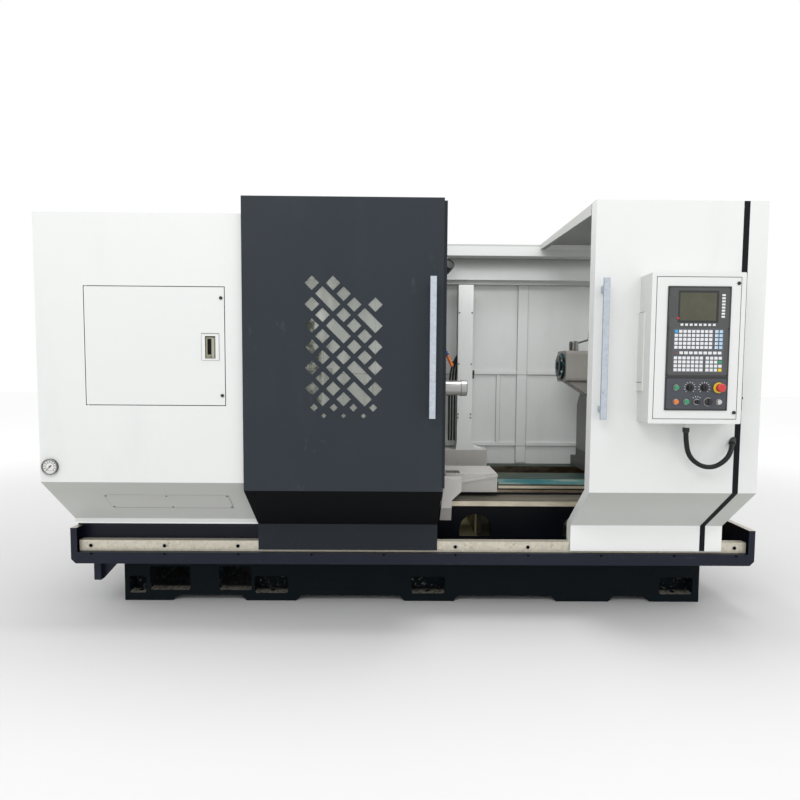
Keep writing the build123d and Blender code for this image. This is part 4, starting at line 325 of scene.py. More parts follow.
def bed_finish():
    """Black bed walls, an olive inside with painted shade over its right part, ground way faces, and smears
    of teal slideway grease with a painted highlight on the bevels.
    """
    f = Finish("bed_finish")
    cloud = f.noise(4.5, 5.0, 0.6)
    sand = f.noise(110.0, 4.0, 0.6)
    paint = f.mix(cloud, (0.001, 0.002, 0.005), (0.005, 0.007, 0.014))
    inside = f.y.past(BED_WALL_Y) * f.z.under(0.598, 0.602)
    olive = f.mix(cloud.over(0.35, 0.65), (0.24, 0.22, 0.12), (0.36, 0.33, 0.19))
    # Painted shade: the olive inside darkened right of the arch's middle
    olive = f.mix(f.x.between(0.400, 1.020) * 0.9, olive, (0.010, 0.010, 0.008))
    paint = f.mix(inside, paint, olive)
    grind = f.noise(120.0, 4.0, 0.7, (0.04, 1.0, 1.0))
    rust = f.noise(6.0, 5.0, 0.7, (0.3, 1.0, 1.0)).over(0.42, 0.60)
    steel = f.mix(grind, (0.42, 0.36, 0.27), (0.20, 0.165, 0.12))
    steel = f.mix(rust * 0.75, steel, (0.10, 0.055, 0.025))
    smear = f.noise(5.5, 5.0, 0.68, (0.22, 1.6, 1.0))
    streak = f.noise(30.0, 4.0, 0.7, (0.08, 1.5, 1.0)).over(0.55, 0.66)
    grease = f.mix(smear.over(0.36, 0.60), (0.003, 0.036, 0.042), (0.040, 0.050, 0.028))
    grease = f.mix(streak * 0.35, grease, (0.20, 0.24, 0.19))
    # Painted highlight: the grease on the bevels that face up and forward made paler
    bevel = f.ny.under(-0.75, -0.4) * f.nz.over(0.35, 0.5) * f.nz.under(0.90, 0.98)
    light = f.mix(smear.over(0.40, 0.60), (0.025, 0.15, 0.165), (0.28, 0.37, 0.33))
    grease = f.mix(bevel, grease, light)
    machined = f.z.over(0.613, 0.616) * f.y.between(-0.060, 0.580, 0.001)
    top = f.nz.over(0.35, 0.6) * f.z.over(0.640, 0.650)
    upright = machined * f.nz.under(0.2, 0.35) * f.y.before(BED_WALL_Y)
    lines = f.z.between(0.6570, 0.6640, 0.0006).most(f.z.between(0.6300, 0.6375, 0.0006))
    shadow = upright * lines
    edge = upright * f.z.between(0.6400, 0.6540, 0.0006)
    tone = f.mix(machined, paint, steel)
    tone = f.mix(top * smear.over(0.22, 0.40), tone, grease)
    tone = f.mix(shadow, tone, (0.010, 0.012, 0.012))
    tone = f.mix(edge * 0.8, tone, (0.62, 0.56, 0.45))
    metal = machined * (1 - top) * (1 - shadow)
    rough = 0.42 + sand * 0.16 - machined * 0.20 + top * 0.16
    normal = f.bump(sand, 0.0009, 0.4, f.bump(smear, 0.0008, 0.5))
    return f.done(tone, rough, metal * 0.9, normal, shine=0.2)


def shelf_finish():
    """Oily olive-grey plate with a worn bright lip."""
    f = Finish("drip_shelf")
    streak = f.noise(9.0, 5.0, 0.65, (0.12, 1.0, 1.0))
    tone = f.mix(streak.over(0.35, 0.65), (0.085, 0.080, 0.062), (0.20, 0.185, 0.15))
    wear = f.noise(14.0, 5.0, 0.7, (0.2, 1.0, 1.0)).over(0.40, 0.60)
    lip = f.y.before(-0.234) * (0.7 + wear * 0.3)
    tone = f.mix(lip, tone, (0.60, 0.54, 0.42))
    return f.done(tone, 0.34 + streak * 0.2, 0.45, f.bump(streak, 0.0006, 0.4))


def tray_finish():
    """Blue-grey paint on the tray, with bare plate on the end flanges' tops."""
    f = Finish("tray_finish")
    cloud = f.noise(2.2, 4.0, 0.6)
    scuff = f.scratches(14.0, (0.35, 1.0, 3.0)) * f.noise(3.0).over(0.48, 0.62)
    dirt = f.noise(22.0, 6.0, 0.7).over(0.56, 0.72)
    paint = f.mix(cloud, (0.008, 0.010, 0.020), (0.014, 0.017, 0.029))
    paint = f.mix(scuff * 0.18, paint, (0.13, 0.14, 0.16))
    paint = f.mix(dirt * 0.09, paint, (0.09, 0.085, 0.08))
    inside = f.z.over(0.294, 0.297) * f.y.past(-0.436) * f.z.under(0.480, 0.486)
    paint = f.mix(inside, paint, (0.005, 0.006, 0.013))
    plate = f.mix(f.noise(25.0, 5.0, 0.7), (0.58, 0.55, 0.47), (0.35, 0.33, 0.28))
    flange = f.z.over(0.4885, 0.4892) * f.nz.over(0.7, 0.9)
    tone = f.mix(flange, paint, plate)
    normal = f.bump(cloud, 0.003, 0.3)
    return f.done(tone, 0.36 + scuff * 0.2 + dirt * 0.2, flange * 0.5, normal, shine=0.18)


def turret_finish():
    """Grey cast turret base whose drive motor is bare aluminium."""
    f = Finish("turret_finish")
    cloud = f.noise(5.0, 5.0, 0.6)
    grey = f.mix(cloud, (0.40, 0.39, 0.37), (0.29, 0.28, 0.265))
    brush = f.noise(150.0, 4.0, 0.7, (0.06, 1.0, 1.0))
    silver = f.mix(brush, (0.50, 0.50, 0.49), (0.30, 0.30, 0.29))
    bands = f.x.between(0.2890, 0.2915, 0.0005).most(f.x.past(0.324))
    silver = f.mix(bands, silver, (0.06, 0.06, 0.06))
    motor = f.x.past(0.085) * f.z.over(1.19, 1.192)
    return f.done(f.mix(motor, grey, silver), 0.42 - motor * 0.12, motor * 0.85, f.bump(cloud, 0.002, 0.4))


def oiled(f):
    """Colour of black steel under a thin teal oil film."""
    oil = f.noise(24.0, 4.0, 0.6)
    return f.mix(oil.over(0.46, 0.66), (0.006, 0.009, 0.011), (0.012, 0.085, 0.098))


def tailstock_finish():
    """Warm grey casting with the dark oiled cap around the quill, and painted shade on its column, its foot
    and the underside of its sill.
    """
    f = Finish("tailstock_finish")
    cloud = f.noise(6.0, 5.0, 0.6)
    grey = f.mix(cloud, (0.34, 0.325, 0.30), (0.24, 0.23, 0.21))
    # Painted shade: the column under the barrel darkened, the foot darker still, and the sill's underside
    # dark
    column = f.x.past(1.160) * f.z.under(1.245, 1.285)
    grey = f.mix(column * 0.8, grey, (0.13, 0.13, 0.125))
    foot = f.z.under(0.820, 0.830)
    grey = f.mix(foot * 0.85, grey, (0.035, 0.036, 0.035))
    sill = f.x.over(0.986, 0.988) * f.nz.under(-0.9, -0.6) * f.z.over(1.28, 1.29)
    grey = f.mix(sill * 0.8, grey, (0.04, 0.04, 0.04))
    cap = f.x.under(0.9846, 0.9852)
    tone = f.mix(cap, grey, oiled(f))
    return f.done(tone, 0.44 - cap * 0.2, cap * 0.5, f.bump(f.noise(200.0, 3.0), 0.0004, 0.4))


def quill_finish():
    """Ground quill whose nose is dark with oil."""
    f = Finish("quill_finish")
    grain = f.noise(160.0, 4.0, 0.7, (1.0, 0.06, 0.06))
    steel = f.mix(grain, (0.52, 0.51, 0.49), (0.32, 0.315, 0.30))
    nose = f.x.before(0.9695)
    tone = f.mix(nose, steel, oiled(f))
    return f.done(tone, 0.26 + grain * 0.14, 0.9 - nose * 0.4, f.bump(grain, 0.0002, 0.4))


def unit_finish():
    """Dark control unit: paler keys stand proud of its face, in their printed colours."""
    f = Finish("unit_finish")
    fine = f.noise(700.0, 2.0)
    face = f.mix(f.noise(12.0), (0.050, 0.052, 0.052), (0.070, 0.072, 0.070))
    frame_area = f.field(1.190, 1.432, 1.355, 1.562)
    face = f.mix(frame_area, face, (0.075, 0.080, 0.095))
    rim = 1 - f.field(1.170, 1.449, 1.344, 1.750)
    face = f.mix(rim * 0.7, face, (0.012, 0.012, 0.013))
    bezel = f.field(1.209, 1.400, 1.589, 1.738)
    face = f.mix(bezel, face, (0.014, 0.015, 0.015))
    key = f.proud()
    white = f.mix(f.noise(40.0), (0.74, 0.75, 0.76), (0.60, 0.61, 0.63))
    # Blue column, first key, brown, green and yellow keys, side flap and its small lamp
    fields = [
        (f.x.over(1.3925, 1.393) * f.z.between(1.463, 1.560), (0.40, 0.56, 0.70)),
        (f.x.under(1.2135, 1.214) * f.z.between(1.539, 1.560), (0.05, 0.32, 0.60)),
        (f.x.under(1.2185, 1.219) * f.z.between(1.436, 1.458), (0.13, 0.075, 0.06)),
        (f.x.over(1.4015, 1.402) * f.z.between(1.397, 1.414), (0.03, 0.30, 0.13)),
        (f.x.over(1.4015, 1.402) * f.z.between(1.360, 1.376), (0.75, 0.52, 0.02)),
        (f.x.under(1.1995, 1.200) * f.z.over(1.610, 1.612), (0.055, 0.057, 0.056)),
        (f.field(1.204, 1.216, 1.603, 1.615), (0.65, 0.01, 0.02)),
    ]
    keys = white
    for area, color in fields:
        keys = f.mix(area, keys, color)
    return f.done(f.mix(key, face, keys), 0.45 - key * 0.08 + fine * 0.08, normal=f.bump(fine, 0.00008, 0.4))


def panel_finish():
    """Slate operator panel: steel collars, black knob rings and a yellow ring round the emergency stop."""
    f = Finish("panel_finish")
    face = f.mix(f.noise(14.0), (0.042, 0.048, 0.060), (0.054, 0.060, 0.072))
    inside = f.field(1.169, 1.450, 1.185, 1.327)
    tone = f.mix(inside, (0.018, 0.019, 0.021), face)
    collar = f.proud()
    steel = f.mix(f.noise(60.0), (0.50, 0.50, 0.50), (0.34, 0.34, 0.34))
    tone = f.mix(collar, tone, steel)
    knob = collar * f.x.between(1.258, 1.366) * f.z.over(1.262, 1.264)
    tone = f.mix(knob, tone, (0.012, 0.012, 0.013))
    across = f.x - 1.414
    above = f.z - 1.285
    stop_ring = (across * across + above * above).under(0.000600, 0.000640)
    beyond = collar * f.x.past(1.384) * f.z.past(1.2545)
    warning = beyond * stop_ring
    tone = f.mix(beyond, tone, (0.048, 0.054, 0.066))
    tone = f.mix(warning, tone, (0.72, 0.55, 0.02))
    metal = collar * (1 - knob) * (1 - beyond)
    return f.done(tone, 0.45, metal * 0.8, f.bump(f.noise(600.0, 2.0), 0.0001, 0.4))


def access_finish():
    """Service door: white paint, a painted shadow line round its latch plate and painted shade in the dark
    well behind the paddle.
    """
    f = Finish("access_door_coat")
    tone = f.white_coat()
    plate = f.field(-1.0627, -0.9783, 1.4003, 1.5277)
    around = f.field(-1.0655, -0.9760, 1.3985, 1.5330)
    shadow = around * (1 - plate) * f.y.before(-0.6695)
    tone = f.mix(shadow * 0.75, tone, (0.16, 0.165, 0.17))
    # Painted shade in the recessed well behind the latch paddle
    well = f.field(-1.0475, -0.9935, 1.4065, 1.5195) * f.y.over(-0.6752, -0.6748)
    tone = f.mix(well, tone, (0.014, 0.014, 0.015))
    return f.done(tone, 0.42, normal=f.grain())


def paddle_finish():
    """Dull yellowish latch paddle with painted shade in the sunken slot down its middle."""
    f = Finish("latch_paddle")
    grain = f.noise(150.0, 4.0, 0.7, (1.0, 1.0, 0.1))
    tone = f.mix(grain, (0.36, 0.35, 0.26), (0.20, 0.195, 0.14))
    bright = f.x.past(-1.0125) * f.x.before(-1.0025)
    tone = f.mix(bright * 0.6, tone, (0.50, 0.49, 0.42))
    rim = 1 - f.x.between(-1.0415, -0.9990, 0.0006)
    tone = f.mix(rim * 0.8, tone, (0.03, 0.03, 0.02))
    # Painted shade: the sunken slot made nearly black
    slot = f.x.between(-1.0340, -1.0155, 0.0008) * f.z.between(1.4270, 1.5040, 0.001)
    tone = f.mix(slot, tone, (0.002, 0.002, 0.002))
    ends = (1 - f.z.between(1.4200, 1.5080, 0.001)) * f.noise(90.0, 3.0).over(0.45, 0.60)
    tone = f.mix(ends * 0.8, tone, (0.05, 0.05, 0.035))
    normal = f.bump(1 - slot, 0.004, 0.8, f.bump(grain, 0.0002, 0.3))
    return f.done(tone, 0.30 + slot * 0.6, 0.9 - slot * 0.9, normal, shine=0.25)


def cover_finish():
    """White cover plate with painted shade on its downward slope and a painted shadow line along its edge."""
    f = Finish("slope_cover_coat")
    # Painted shade on the downward slope
    tone = f.slope_shade(f.white_coat())
    rim = 1 - f.x.between(-1.6102, -0.9718, 0.0005)
    tone = f.mix(rim * 0.8, tone, (0.20, 0.205, 0.21))
    ends = f.nz.over(-0.60, -0.45).most(f.z.under(0.6172, 0.6178))
    tone = f.mix(ends * 0.8, tone, (0.20, 0.205, 0.21))
    return f.done(tone, 0.42, normal=f.grain())


def box_door_finish():
    """White front frame of the control box with a grey seal line round its rim."""
    f = Finish("box_door_coat")
    tone = f.white_coat()
    rim = 1 - f.field(1.1105, 1.5035, 1.1385, 1.7995, 0.0004)
    tone = f.mix(rim * 0.85, tone, (0.13, 0.135, 0.14))
    return f.done(tone, 0.42, normal=f.grain())


def box_shell_finish():
    """White box sheet with painted shade on the side towards the work zone and on its underside, and two dark
    hinge slots on that side.
    """
    f = Finish("box_shell_coat")
    tone = f.white_coat()
    # Painted shade on the side that faces the work zone
    side = f.nx.minus()
    tone = f.mix(side * 0.45, tone, (0.36, 0.365, 0.34))
    slots = f.z.between(1.6430, 1.6470).most(f.z.between(1.3050, 1.3090))
    tone = f.mix(side * slots * f.y.over(FRONT_Y - 0.056, FRONT_Y - 0.054) * 0.9, tone, (0.03, 0.03, 0.03))
    # Painted shade on the underside
    under = f.nz.minus()
    tone = f.mix(under * 0.5, tone, (0.30, 0.30, 0.29))
    return f.done(tone, 0.42, normal=f.grain())


def gauge_finish():
    """Dull steel gauge case with a white dial inside."""
    f = Finish("gauge_finish")
    dial = f.y.between(-0.6835, -0.6795) * f.ny.minus()
    dark = f.mix(f.noise(60.0), (0.16, 0.16, 0.15), (0.08, 0.08, 0.075))
    return f.done(f.mix(dial, dark, (0.70, 0.70, 0.69)), 0.16 + dial * 0.3, 1 - dial)


def screen_finish():
    """Switched-off display: dark olive glass with a faint haze."""
    f = Finish("screen_finish")
    haze = f.noise(14.0, 4.0, 0.6)
    tone = f.mix(haze, (0.035, 0.036, 0.020), (0.075, 0.076, 0.045))
    return f.done(tone, 0.16 + haze * 0.08, coat=0.4, shine=0.4)


def pane_finish():
    """Clear polycarbonate with faint cleaning streaks and darker, less clear patches at its lower left."""
    f = Finish("pane_finish")
    streak = f.noise(9.0, 5.0, 0.7, (1.0, 1.0, 0.2)).over(0.5, 0.72)
    tone = f.mix(streak, (0.62, 0.66, 0.58), (0.84, 0.85, 0.80))
    # Darker, less clear patches at the pane's lower left
    low = f.x.under(-0.512, -0.492) * f.z.under(1.600, 1.650)
    lower = f.x.under(-0.480, -0.455) * f.z.under(1.430, 1.480)
    dark_patch = low.most(lower) * (0.55 + f.noise(16.0, 5.0, 0.7).over(0.40, 0.60) * 0.45)
    tone = f.mix(dark_patch, tone, (0.030, 0.036, 0.022))
    return f.done(tone, 0.08 + streak * 0.15, alpha=0.16 + streak * 0.12 + dark_patch * 0.5)


def cabinet_finish():
    """Slightly clouded white paint of the rear cabinet."""
    f = Finish("cabinet_finish")
    cloud = f.noise(1.9, 4.0, 0.6)
    tone = f.mix(cloud * 0.4, (0.78, 0.79, 0.78), (0.66, 0.675, 0.67))
    return f.done(tone, 0.42 + cloud * 0.1, normal=f.grain())


def wall_finish(name, seams_and_shade=False):
    """Sheet of the work zone: pale grey, with painted shade on its returns, under its folds, on the fascia,
    under the step and on the beam's front; the rear wall also gets dark seams, and painted shade under its
    cross ribs and towards its top.
    """
    f = Finish(name)
    cloud = f.noise(1.7, 4.0, 0.6)
    smear = f.noise(3.4, 5.0, 0.6, (1.0, 1.0, 0.4)).over(0.45, 0.75)
    tone = f.mix(cloud * 0.5, (0.84, 0.86, 0.85), (0.72, 0.74, 0.73))
    tone = f.mix(smear * 0.3, tone, (0.612, 0.629, 0.6205))
    # Painted shade on the returns and on the faces that look down
    edge = f.nx.math("ABSOLUTE").over(0.5, 0.8).most(f.nz.under(-0.8, -0.5))
    tone = f.mix(edge * 0.6, tone, (0.22, 0.225, 0.22))
    # Painted shade: the fascia darker towards its top, a dark band under the step, and the beam's front
    # darker towards the roof
    fascia = f.y.over(0.455, 0.460) * f.z.over(2.000, 2.002)
    tone = f.mix(fascia * f.z.over(2.050, 2.135) * 0.7, tone, (0.20, 0.205, 0.185))
    step = f.z.between(1.9720, 1.9990, 0.001) * f.y.over(0.50, 0.51)
    tone = f.mix(step * 0.6, tone, (0.20, 0.205, 0.195))
    band = f.y.under(0.375, 0.380) * f.z.over(2.135, 2.137)
    tone = f.mix(band * (0.40 + f.z.over(2.200, 2.206) * 0.4), tone, (0.36, 0.37, 0.36))
    if seams_and_shade:
        # Dark seams at the ribs' side edges, with painted shade in the dark lines under the two cross ribs
        # and in the band darkening towards the top
        below = f.z.between(1.3330, 1.3385).most(f.z.between(0.8150, 0.8205))
        beside = f.x.between(0.8305, 0.8350).most(f.x.between(0.7555, 0.7605))
        faint = f.x.between(-0.2645, -0.2600).most(f.x.between(-0.4565, -0.4525))
        short = f.x.between(0.6385, 0.6425).most(f.x.between(0.6095, 0.6135)) * f.z.between(0.845, 1.338)
        seam_and_rib_shade = below.most(beside).most(short)
        tone = f.mix(seam_and_rib_shade * 0.58, tone, (0.15, 0.155, 0.155))
        tone = f.mix(faint * 0.25, tone, (0.15, 0.155, 0.155))
        shade_band = f.z.over(1.72, 1.97)
        tone = f.mix(shade_band * 0.35, tone, (0.40, 0.40, 0.37))
    return f.done(tone, 0.46, normal=f.grain())


def roof_finish():
    """White roof sheet with painted shade on its underside and on its left end."""
    f = Finish("hood_roof_coat")
    cloud = f.noise(1.7, 4.0, 0.6)
    tone = f.mix(cloud * 0.4, (0.76, 0.77, 0.76), (0.66, 0.67, 0.665))
    # Painted shade on the underside
    under = f.nz.under(-0.5, -0.2)
    tone = f.mix(under * 0.88, tone, (0.13, 0.135, 0.12))
    # Painted shade on the end that faces left
    end = f.nx.minus()
    tone = f.mix(end * 0.6, tone, (0.36, 0.365, 0.34))
    return f.done(tone, 0.45, normal=f.grain())


def gland_finish():
    """White nylon gland under the box and a black one where the conduit ends."""
    f = Finish("gland_nylon")
    cloud = f.noise(30.0, 3.0)
    pale = f.mix(cloud * 0.5, (0.62, 0.62, 0.58), (0.45, 0.45, 0.42))
    tone = f.mix(f.x.over(1.44, 1.45), pale, (0.016, 0.016, 0.017))
    return f.done(tone, 0.45, normal=f.bump(f.noise(900.0, 2.0), 0.0001, 0.3))


# Materials, one for each finish on the machine

white = white_finish()
inner_white = wall_finish("inner_white_coat")
wall_white = wall_finish("rear_wall_coat", True)
charcoal = charcoal_finish()
handle_zinc = galvanised("handle_zinc", (0.56, 0.61, 0.67), (0.36, 0.40, 0.46), (0.26, 0.28, 0.30), 0.75)
rail_zinc = galvanised("rail_zinc", (0.68, 0.64, 0.53), (0.42, 0.39, 0.32), (0.15, 0.11, 0.065), 0.35)
carriage_grey = machine_grey("carriage_grey", (0.46, 0.45, 0.43), (0.36, 0.35, 0.335))
saddle_grey = machine_grey("saddle_finish", (0.56, 0.545, 0.52), (0.42, 0.41, 0.39), (0.27, 0.26, 0.245))
drive_grey = machine_grey("drive_grey", (0.10, 0.11, 0.12), (0.06, 0.066, 0.072))
head_grey = machine_grey("head_grey", (0.42, 0.43, 0.43), (0.33, 0.34, 0.34))
turned_x = brushed("turned_steel", (0.56, 0.55, 0.53), (0.34, 0.335, 0.32), (0.05, 1.0, 1.0))
ground = brushed("ground_steel", (0.60, 0.59, 0.57), (0.38, 0.37, 0.35), (1.0, 0.08, 1.0), 0.24)
chuck_steel = brushed("chuck_steel", (0.20, 0.20, 0.19), (0.09, 0.09, 0.085), (0.05, 1.0, 1.0), 0.32)
turned_iron = brushed("turned_iron", (0.26, 0.26, 0.26), (0.15, 0.15, 0.15), (0.3, 1.0, 1.0), 0.4)
bright_steel = brushed("bright_steel", (0.74, 0.74, 0.73), (0.52, 0.52, 0.51), (1.0, 1.0, 0.1), 0.16)
dark_steel = brushed("dark_steel", (0.30, 0.30, 0.29), (0.14, 0.14, 0.135), (1.0, 1.0, 0.1), 0.24)
screw_dark = brushed("oiled_screw", (0.06, 0.055, 0.05), (0.025, 0.023, 0.02), (0.05, 1.0, 1.0), 0.3)
rubber = moulded("black_rubber", (0.014, 0.014, 0.015), 0.62)
black_plastic = moulded("black_plastic", (0.016, 0.016, 0.018), 0.40)
sheath = moulded("conduit_sheath", (0.005, 0.0055, 0.006), 0.40, shine=0.30)
# Painted shade: near-black with almost no shine, so the rail screws and tray plugs read as dark holes
shade_black = moulded("shade_black", (0.0015, 0.0015, 0.002), 0.8, shine=0.05)
red = moulded("red_plastic", (0.55, 0.02, 0.02), 0.26, 0.4)
green = moulded("green_plastic", (0.02, 0.26, 0.11), 0.25, 0.4)
orange = moulded("orange_plastic", (0.72, 0.17, 0.02), 0.28, 0.4)
blue_plastic = moulded("blue_plastic", (0.02, 0.05, 0.22), 0.4)
silver_cap = moulded("silver_cap", (0.60, 0.60, 0.58), 0.3, 0.0, 0.8)
print_white = moulded("print_white", (0.72, 0.72, 0.72), 0.5)
stripe_black = moulded("stripe_film", (0.006, 0.007, 0.009), 0.50, shine=0.12)
needle_red = moulded("needle_red", (0.10, 0.006, 0.012), 0.35)

FINISHES = {
    "bed_base": base_finish(),
    "chip_tray": tray_finish(),
    "bed": bed_finish(),
    "headstock": head_grey,
    "spindle_bearings": turned_x,
    "door_rail": rail_zinc,
    "housing_front": white,
    "housing_shell": white,
    "slope_cover": cover_finish(),
    "pressure_gauge": gauge_finish(),
    "rear_wall": wall_white,
    "top_beam": inner_white,
    "electrical_cabinet": cabinet_finish(),
    "main_motor": drive_grey,
    "drive_belts": rubber,
    "feed_drive": drive_grey,
    "drip_shelf": shelf_finish(),
    "door_front": charcoal,
    "door_roof": charcoal,
    "door_window": pane_finish(),
    "door_handle": handle_zinc,
    "hood_front": white,
    "hood_roof": roof_finish(),
    "hood_handle": handle_zinc,
    "box_shell": box_shell_finish(),
    "cable_glands": gland_finish(),
    "box_door": box_door_finish(),
    "cnc_unit": unit_finish(),
    "cnc_screen": screen_finish(),
    "operator_panel": panel_finish(),
    "estop_button": red,
    "start_button": green,
    "stop_button": orange,
    "lamp_button": green,
    "reset_button": silver_cap,
    "feed_knob": black_plastic,
    "speed_knob": black_plastic,
    "mode_selector": black_plastic,
    "jog_dial": black_plastic,
    "access_door": access_finish(),
    "access_latch": paddle_finish(),
    "spindle": turned_x,
    "chuck_body": chuck_steel,
    "spindle_pulley": turned_iron,
    "jaw_1": ground,
    "jaw_2": ground,
    "jaw_3": ground,
    "motor_pulley": turned_iron,
    "saddle": saddle_grey,
    "cable_mast": inner_white,
    "feed_screw": screw_dark,
    "cross_slide": carriage_grey,
    "turret_base": turret_finish(),
    "turret_head": ground,
    "tailstock": tailstock_finish(),
    "quill": quill_finish(),
    "handwheel": bright_steel,
    "clamp_lever": dark_steel,
    "gauge_needle": needle_red,
}

for node, finish in FINISHES.items():
    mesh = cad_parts[node].data
    mesh.materials.clear()
    mesh.materials.append(finish)


# Modelling helpers


def start():
    """Leave edit mode and deselect everything before the next primitive."""
    if bpy.context.object and bpy.context.object.mode != "OBJECT":
        bpy.ops.object.mode_set(mode="OBJECT")
    bpy.ops.object.select_all(action="DESELECT")


def link(piece):
    """Put an object into the scene."""
    bpy.context.scene.collection.objects.link(piece)


def settle(name, finish, body, smooth=30):
    """Put the active object's place into its mesh, name it, paint it and hang it on a body."""
    piece = bpy.context.object
    bpy.ops.object.transform_apply(location=True, rotation=True, scale=True)
    piece.name = name
    piece.data.materials.clear()
    piece.data.materials.append(finish)
    if smooth:
        bpy.ops.object.shade_smooth_by_angle(angle=radians(smooth))
    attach(piece, body)
    return piece


def apply_modifier(kind, **settings):
    """Add a modifier to the active object and apply it."""
    piece = bpy.context.object
    modifier = piece.modifiers.new(kind.title(), kind)
    for name, value in settings.items():
        setattr(modifier, name, value)
    bpy.ops.object.modifier_apply(modifier=modifier.name)


def copies(piece, name, offsets, body):
    """Copies of a finished piece, each with its own mesh, moved by the offsets."""
    for index, offset in enumerate(offsets):
        mesh = piece.data.copy()
        for vertex in mesh.vertices:
            vertex.co += Vector(offset)
        twin = bpy.data.objects.new(f"{name}_{index + 2}", mesh)
        link(twin)
        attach(twin, body)


def select_faces(test):
    """Select the active object's faces whose centre and normal pass the test, in edit mode."""
    piece = bpy.context.object
    bpy.ops.object.mode_set(mode="EDIT")
    bpy.ops.mesh.select_mode(type="FACE")
    bpy.ops.mesh.select_all(action="DESELECT")
    work = bmesh.from_edit_mesh(piece.data)
    for face in work.faces:
        face.select = test(face.calc_center_median(), face.normal)
    bmesh.update_edit_mesh(piece.data)


def step_in(thickness, rise):
    """Inset the selected faces and move them up or down."""
    bpy.ops.mesh.inset(thickness=thickness)
    bpy.ops.transform.translate(value=(0, 0, rise))


def cap_screw(name, place, radius, finish, body, along="front"):
    """A cap screw with a round socket, its head standing out to the front, the back or the left."""
    turn = {"front": (radians(90), 0, 0), "back": (radians(-90), 0, 0), "left": (0, radians(-90), 0)}[along]
    start()
    bpy.ops.mesh.primitive_cylinder_add(vertices=24, radius=radius, depth=radius * 0.9)
    select_faces(lambda centre, normal: normal.z > 0.9)
    step_in(radius * 0.18, radius * 0.10)
    step_in(radius * 0.30, -radius * 0.35)
    bpy.ops.object.mode_set(mode="OBJECT")
    piece = bpy.context.object
    piece.location = place
    piece.rotation_euler = turn
    return settle(name, finish, body, 35)


def cap_screws(name, places, radius, finish, body, along="front"):
    """A cap screw at the first place and a copy of it at each of the others."""
    first = cap_screw(name + "_1", places[0], radius, finish, body, along)
    copies(first, name, [Vector(place) - Vector(places[0]) for place in places[1:]], body)


def ring(name, place, radii, segments, finish, smooth=40):
    """A round ring of the machine that faces the front, from its two radii and its numbers of segments."""
    start()
    bpy.ops.mesh.primitive_torus_add(
        major_radius=radii[0],
        minor_radius=radii[1],
        major_segments=segments[0],
        minor_segments=segments[1],
        location=place,
        rotation=(radians(90), 0, 0),
    )
    return settle(name, finish, "machine", smooth)


def round_curve(name, points, radius, along, around):
    """A round curve through the points, with its steps along and around."""
    curve = bpy.data.curves.new(name, "CURVE")
    curve.dimensions = "3D"
    curve.resolution_u = along
    line = curve.splines.new("NURBS")
    line.points.add(len(points) - 1)
    for point, place in zip(line.points, points):
        point.co = (*place, 1)
    line.order_u = 3
    line.use_endpoint_u = True
    curve.bevel_depth = radius
    curve.bevel_resolution = around
    curve.use_fill_caps = True
    piece = bpy.data.objects.new(name, curve)
    link(piece)
    return piece


def tube(name, points, radius, finish, body):
    """A smooth pipe through the points, made as a mesh."""
    start()
    piece = round_curve(name, points, radius, 12, 4)
    bpy.context.view_layer.objects.active = piece
    piece.select_set(True)
    bpy.ops.object.convert(target="MESH")
    return settle(name, finish, body, 40)


def plate(name, low, high, finish, body, bevel=0.001):
    """A small plate or block with rounded edges."""
    start()
    centre = [(a + b) / 2 for a, b in zip(low, high)]
    bpy.ops.mesh.primitive_cube_add(size=1, location=centre)
    piece = bpy.context.object
    piece.scale = [b - a for a, b in zip(low, high)]
    bpy.ops.object.transform_apply(location=True, rotation=True, scale=True)
    apply_modifier("BEVEL", width=bevel, segments=3)
    return settle(name, finish, body, 30)


def dial_marks(name, dials, size, finish, body):
    """Printed ticks round one or more dials, each with bevelled edges, joined to one piece."""
    start()
    bpy.ops.mesh.primitive_cube_add(size=1)
    tick = bpy.context.object
    tick.scale = size
    bpy.ops.object.transform_apply(scale=True)
    apply_modifier("BEVEL", width=size[1] * 0.4, segments=2)
    marks = []
    for x, y, z, radius, count, step in dials:
        for index in range(count):
            angle = radians((index - (count - 1) / 2) * step)
            mark = tick.copy()
            mark.data = tick.data.copy()
            link(mark)
            mark.rotation_euler = (0, angle, 0)
            mark.location = (x + radius * sin(angle), y, z + radius * cos(angle))
            marks.append(mark)
    bpy.data.objects.remove(tick)
    start()
    for mark in marks:
        mark.select_set(True)
    bpy.context.view_layer.objects.active = marks[0]
    bpy.ops.object.join()
    return settle(name, finish, body, 30)


# The conduit, first among the pieces

CONDUIT_ROUTE = [
    (1.302, -0.755, 1.088),
    (1.302, -0.755, 1.041),
    (1.316, -0.758, 0.951),
    (1.376, -0.760, 0.901),
    (1.443, -0.760, 0.895),
    (1.501, -0.757, 0.930),
    (1.531, -0.750, 0.975),
    (1.557, -0.712, 1.006),
]


def make_conduit():
    """Black sheath that hangs in one loop from the box's gland to the hood's."""
    conduit = round_curve("control_conduit", CONDUIT_ROUTE, 0.0115, 16, 6)
    conduit.data.materials.append(sheath)
    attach(conduit, "hood")
    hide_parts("conduit")


# Fittings on the front


